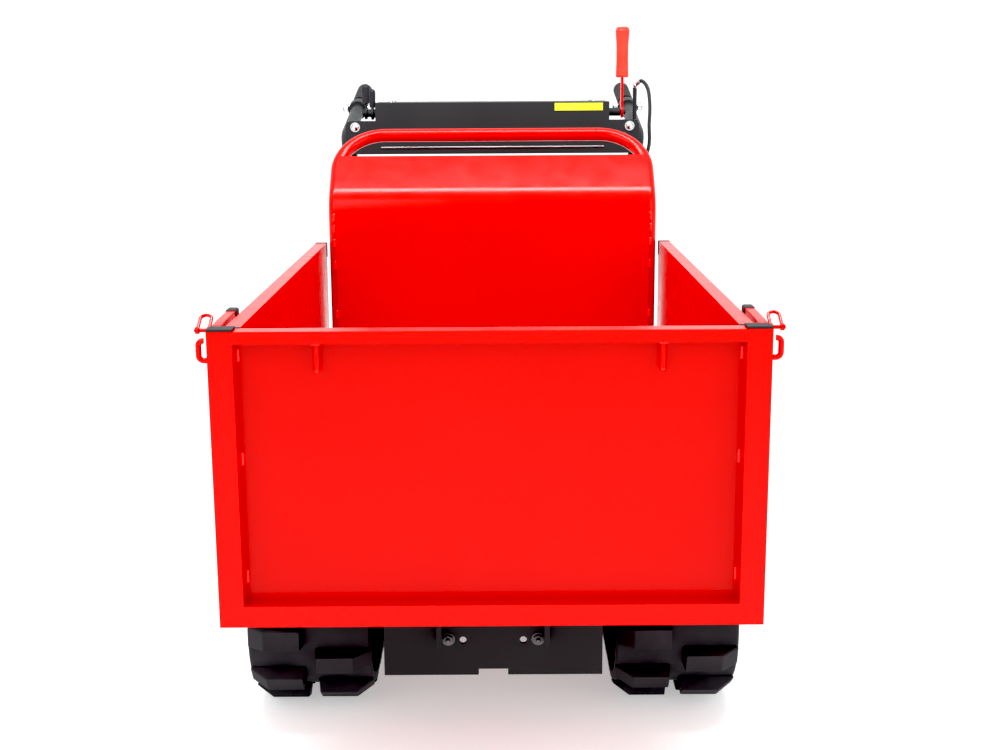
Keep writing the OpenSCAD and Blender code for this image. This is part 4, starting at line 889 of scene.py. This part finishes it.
# %% Filler, switch and fuel line
FILLER_PROFILE = [
    (0, 0), (0.017, 0), (0.017, 0.007), (0.013, 0.009), (0.013, 0.018), (0.011, 0.020), (0, 0.020),
]
FILLER_AT = (0.055, ENGINE_Y + 0.1065, 0.345)
FILLER_AXIS = (0, 1, 0.18)
SWITCH_BOX = ((-0.075, ENGINE_Y + 0.094, 0.372), (-0.035, ENGINE_Y + 0.116, 0.404))
SWITCH_KEY = ((-0.068, ENGINE_Y + 0.114, 0.379), (-0.042, ENGINE_Y + 0.1195, 0.397))
SWITCH_ROUND = 0.003
KEY_ROUND = 0.0022
FUEL_LINE = [
    (0.060, 0.300, 0.5225), (0.060, 0.298, 0.512), (0.066, 0.280, 0.500), (0.078, 0.250, 0.490),
    (0.084, 0.222, 0.486), (0.084, 0.210, 0.486),
]
FUEL_LINE_R = 0.0035
bm = bmesh.new()
turned(bm, FILLER_PROFILE, FILLER_AT, FILLER_AXIS)
rounded_block(bm, *SWITCH_BOX, SWITCH_ROUND)
finish_piece("filler_and_switch", bm, "black_plastic", "chassis")
bm = bmesh.new()
rounded_block(bm, *SWITCH_KEY, KEY_ROUND)
finish_piece("stop_switch", bm, "grip_red", "chassis")
bm = bmesh.new()
wire(bm, FUEL_LINE, FUEL_LINE_R)
finish_piece("fuel_line", bm, "cable_sleeve", "chassis")

# %% Tank seam and gearbox flange
SEAM_Z = 0.562
SEAM_OUT = 0.003
SEAM_THICK = 0.003
SEAM_CORNER = 0.027
tank_low, tank_high = (Vector(corner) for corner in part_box("fuel_tank"))
tank = tank_high - tank_low
middle = (tank_low + tank_high) / 2
bm = bmesh.new()
made = bmesh.ops.create_cube(bm, size=1.0)["verts"]
bmesh.ops.scale(bm, vec=(tank.x + 2 * SEAM_OUT, tank.y + 2 * SEAM_OUT, SEAM_THICK), verts=made)
bmesh.ops.translate(bm, vec=(middle.x, middle.y, SEAM_Z), verts=made)
upright = [edge for edge in bm.edges if abs(edge.verts[0].co.z - edge.verts[1].co.z) > SEAM_THICK / 2]
round_edges(bm, upright, SEAM_CORNER, 8)
finish_piece("tank_seam", bm, "tank_red", "chassis")

FLANGE = 0.012
FLANGE_LARGER = (1, 1.04, 1.035)
FLANGE_ROUND = 0.0015
GEARBOX_OUTLINE = (
    (0.320, 0.089), (0.464, 0.089), (0.484, 0.133), (0.492, 0.252), (0.472, 0.288), (0.418, 0.288),
    (0.300, 0.153),
)
bm = bmesh.new()
face = bm.faces.new([bm.verts.new((-FLANGE / 2, y, z)) for y, z in GEARBOX_OUTLINE])
middle = face.calc_center_median()
made = bmesh.ops.extrude_face_region(bm, geom=[face])["geom"]
bmesh.ops.translate(bm, vec=(FLANGE, 0, 0), verts=only(bmesh.types.BMVert, made))
bmesh.ops.scale(bm, vec=FLANGE_LARGER, verts=bm.verts, space=Matrix.Translation(-middle))
bmesh.ops.recalc_face_normals(bm, faces=bm.faces)
round_edges(bm, list(bm.edges), FLANGE_ROUND)
finish_piece("gearbox_flange", bm, "cast_alloy", "chassis")

# %% [markdown]
# ## What holds the frame together
# The rails' open ends have plastic plugs, the handles' feet are bolted through, and each drive wheel is
# bolted to its hub. Straps hold the cables to the handles, and every cable ends in a pressed ferrule. A
# strap is one ring round the tube and a smaller one round the cable. The hub bolts ride on the wheels,
# because they turn with them.

# %% Rail plugs, foot bolts and console screws
RAIL_X = 0.133
RAIL_HALF = 0.015
RAIL_PLUG_IN = 0.001
RAIL_PLUG_OUT = 0.004
RAIL_PLUG_ROUND = 0.0015
rails_low, rails_high = (Vector(corner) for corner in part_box("chassis_rails"))
half = RAIL_HALF + PLUG_RIM
bm = bmesh.new()
for x in (-RAIL_X, RAIL_X):
    low = (x - half, rails_high.y - RAIL_PLUG_IN, rails_low.z - PLUG_RIM)
    high = (x + half, rails_high.y + RAIL_PLUG_OUT, rails_high.z + PLUG_RIM)
    rounded_block(bm, low, high, RAIL_PLUG_ROUND)
finish_piece("rail_plugs", bm, "black_plastic", "chassis")

FOOT_Y = 0.545
FOOT_Z = 0.211
FOOT_HALF = 0.013
SCREW_X = 0.2
SCREW_BACK = (0.02, 0.1)
SCREW_R = 0.004
CONSOLE_TOP = 0.883
bm = bmesh.new()
for x in (-RAIL_X, RAIL_X):
    for side in (-1, 1):
        hex_bolt(bm, (x + side * FOOT_HALF, FOOT_Y, FOOT_Z), (side, 0, 0), M6_HEAD)
for x in (-SCREW_X, SCREW_X):
    for back in SCREW_BACK:
        dome_bolt(bm, (x, CONSOLE_Y + back, CONSOLE_TOP), (0, 0, 1), SCREW_R)
finish_piece("frame_bolts", bm, "plated_steel", "chassis")

# %% Hub bolts on the drive wheels
HUB_OUT = 0.021
HUB_BOLTS = 5
HUB_RING = 0.0245
HUB_STUD = 0.005
for side, name in ((-1, "left_sprocket"), (1, "right_sprocket")):
    bm = bmesh.new()
    x = side * (TRACK_X + HUB_OUT)
    hex_bolt(bm, (x, SPROCKET_Y, WHEEL_Z), (side, 0, 0), M12_HEAD, HUB_STUD)
    for turn in ring(HUB_BOLTS):
        place = (x, SPROCKET_Y + HUB_RING * math.cos(turn), WHEEL_Z + HUB_RING * math.sin(turn))
        hex_bolt(bm, place, (side, 0, 0), M6_HEAD)
    finish_piece(f"{name}_bolts", bm, "plated_steel", name)

# %% Straps and ferrules on the cables
HANDLE_MID = Vector((0.206, 0.552, 0.430))
HANDLE_KNEE = Vector((0.292, 0.362, 0.805))
HANDLE_DIR = Vector((0, 0.979, 0.203))
HANDLE_R = 0.014
CABLE_R = 0.0035
REAR_LIE = Vector((0, 0.0178, 0.009))
OUTER_LIE = Vector((0.0198, 0.002, -0.0035))
STRAP_PLACES = (0.4, 0.7)
STRAP_SLACK = 0.0002
STRAP_THICK = 0.0012
STRAP_HALF = 0.0028
FERRULE_PROFILE = [
    (0, 0), (0.0065, 0), (0.0065, 0.004), (0.005, 0.005), (0.005, 0.014), (0.0043, 0.016), (0, 0.016),
]
LEVER_FERRULE = Vector((0.292, 0.639, 0.8436))
CLUTCH_FERRULE = Vector((0.060, 0.4915, 0.215))
TENSIONER_FERRULE = (0.1435, 0.4677, 0.3594)
CONSOLE_FERRULE = (0.288, 0.442, 0.912)
CONSOLE_FERRULE_AXIS = (0.65, -0.54, 0.54)


def strap(bm, centre, axis, radius):
    """A flat ring round a tube or a cable."""
    inner = radius + STRAP_SLACK
    outer = inner + STRAP_THICK
    corners = [(inner, -STRAP_HALF), (outer, -STRAP_HALF), (outer, STRAP_HALF), (inner, STRAP_HALF)]
    turned(bm, corners + corners[:1], centre, axis)


def ferrule(bm, at, axis):
    turned(bm, FERRULE_PROFILE, at, axis, 16)


straps = bmesh.new()
ferrules = bmesh.new()
for side, lies in ((-1, (REAR_LIE,)), (1, (REAR_LIE, OUTER_LIE))):
    mirror = Vector((side, 1, 1))
    along = (HANDLE_KNEE - HANDLE_MID) * mirror
    for part in STRAP_PLACES:
        tube = HANDLE_MID.lerp(HANDLE_KNEE, part)
        strap(straps, tube * mirror, along, HANDLE_R)
        for lie in lies:
            strap(straps, (tube + lie) * mirror, along, CABLE_R)
    ferrule(ferrules, LEVER_FERRULE * mirror, -HANDLE_DIR)
    ferrule(ferrules, CLUTCH_FERRULE * mirror, (0, 1, 0))
ferrule(ferrules, TENSIONER_FERRULE, (0, 0, 1))
ferrule(ferrules, CONSOLE_FERRULE, CONSOLE_FERRULE_AXIS)
finish_piece("cable_straps", straps, "black_plastic", "chassis")
finish_piece("cable_ferrules", ferrules, "bright_steel", "chassis")

# %% [markdown]
# ## Floor and light
# The photograph is a studio picture on white. A wide pale floor takes the soft shadow under the tracks,
# an even white world stands for the backdrop all round, and big area lights keep the shadows open. One
# narrow strip light hangs above the bed and draws the bright line along the headboard's bend. White all
# round lays a thin veil over gloss paint, which washes out the red, so the view's black level is raised a
# little, as in a contrasty print.

# %% Floor
FLOOR_SIZE = 60.0
FLOOR_DARK = (0.80, 0.80, 0.81)
FLOOR_LIGHT = (0.84, 0.84, 0.84)
FLOOR_PATCHES = 1.5
FLOOR_ROUGH = 0.7
FLOOR_GLOW = 0.42
WHITE = (1.0, 1.0, 1.0, 1.0)
tree, shader, coords = new_finish("floor_paint")
pale = ramp(tree, noise(tree, coords, FLOOR_PATCHES), FLOOR_DARK, FLOOR_LIGHT)
tree.links.new(pale, shader.inputs["Base Color"])
shader.inputs["Roughness"].default_value = FLOOR_ROUGH
shader.inputs["Emission Color"].default_value = WHITE
shader.inputs["Emission Strength"].default_value = FLOOR_GLOW
bm = bmesh.new()
bmesh.ops.create_grid(bm, x_segments=1, y_segments=1, size=FLOOR_SIZE)
floor_mesh = bpy.data.meshes.new("studio_floor")
bm.to_mesh(floor_mesh)
bm.free()
floor_mesh.materials.append(finishes["floor_paint"])
floor = bpy.data.objects.new("studio_floor", floor_mesh)
bpy.context.scene.collection.objects.link(floor)
print("floor:", FLOOR_SIZE, "m to each side")

# %% World and view
ROOM_LIGHT = 1.05
BLACK_LEVEL = 0.031
world = bpy.data.worlds.new("studio")
world.use_nodes = True
room = world.node_tree.nodes["Background"]
room.inputs["Color"].default_value = WHITE
room.inputs["Strength"].default_value = ROOM_LIGHT
bpy.context.scene.world = world
view = bpy.context.scene.view_settings
view.view_transform = "Standard"
view.use_curve_mapping = True
view.curve_mapping.black_level = (BLACK_LEVEL, BLACK_LEVEL, BLACK_LEVEL)
view.curve_mapping.update()
print("world strength:", ROOM_LIGHT, "black level:", BLACK_LEVEL)

# %% Lights
BED_FRONT = (0, -0.4, 0.4)
BED_MIDDLE = (0, 0, 0.4)
HEADBOARD_BEND = (0, 0.07, 0.725)


def soft_light(name, place, target, width, height, power):
    """A rectangular light in metres and watts, turned towards a place on the machine."""
    data = bpy.data.lights.new(name, "AREA")
    data.shape = "RECTANGLE"
    data.size = width
    data.size_y = height
    data.energy = power
    light = bpy.data.objects.new(name, data)
    light.location = place
    light.rotation_euler = (Vector(target) - Vector(place)).to_track_quat("-Z", "Y").to_euler()
    light.visible_camera = False
    bpy.context.scene.collection.objects.link(light)
    print(name, power, "W")


soft_light("key_light", (-1.6, -3.0, 2.6), BED_FRONT, 2.2, 2.2, 27)
soft_light("fill_light", (2.2, -2.6, 1.8), BED_FRONT, 2.2, 2.2, 16)
soft_light("strip_light", (0, -0.24, 2.0), HEADBOARD_BEND, 1.9, 0.22, 32)
soft_light("top_light", (0, 0.4, 3.2), BED_MIDDLE, 2.6, 2.6, 6)
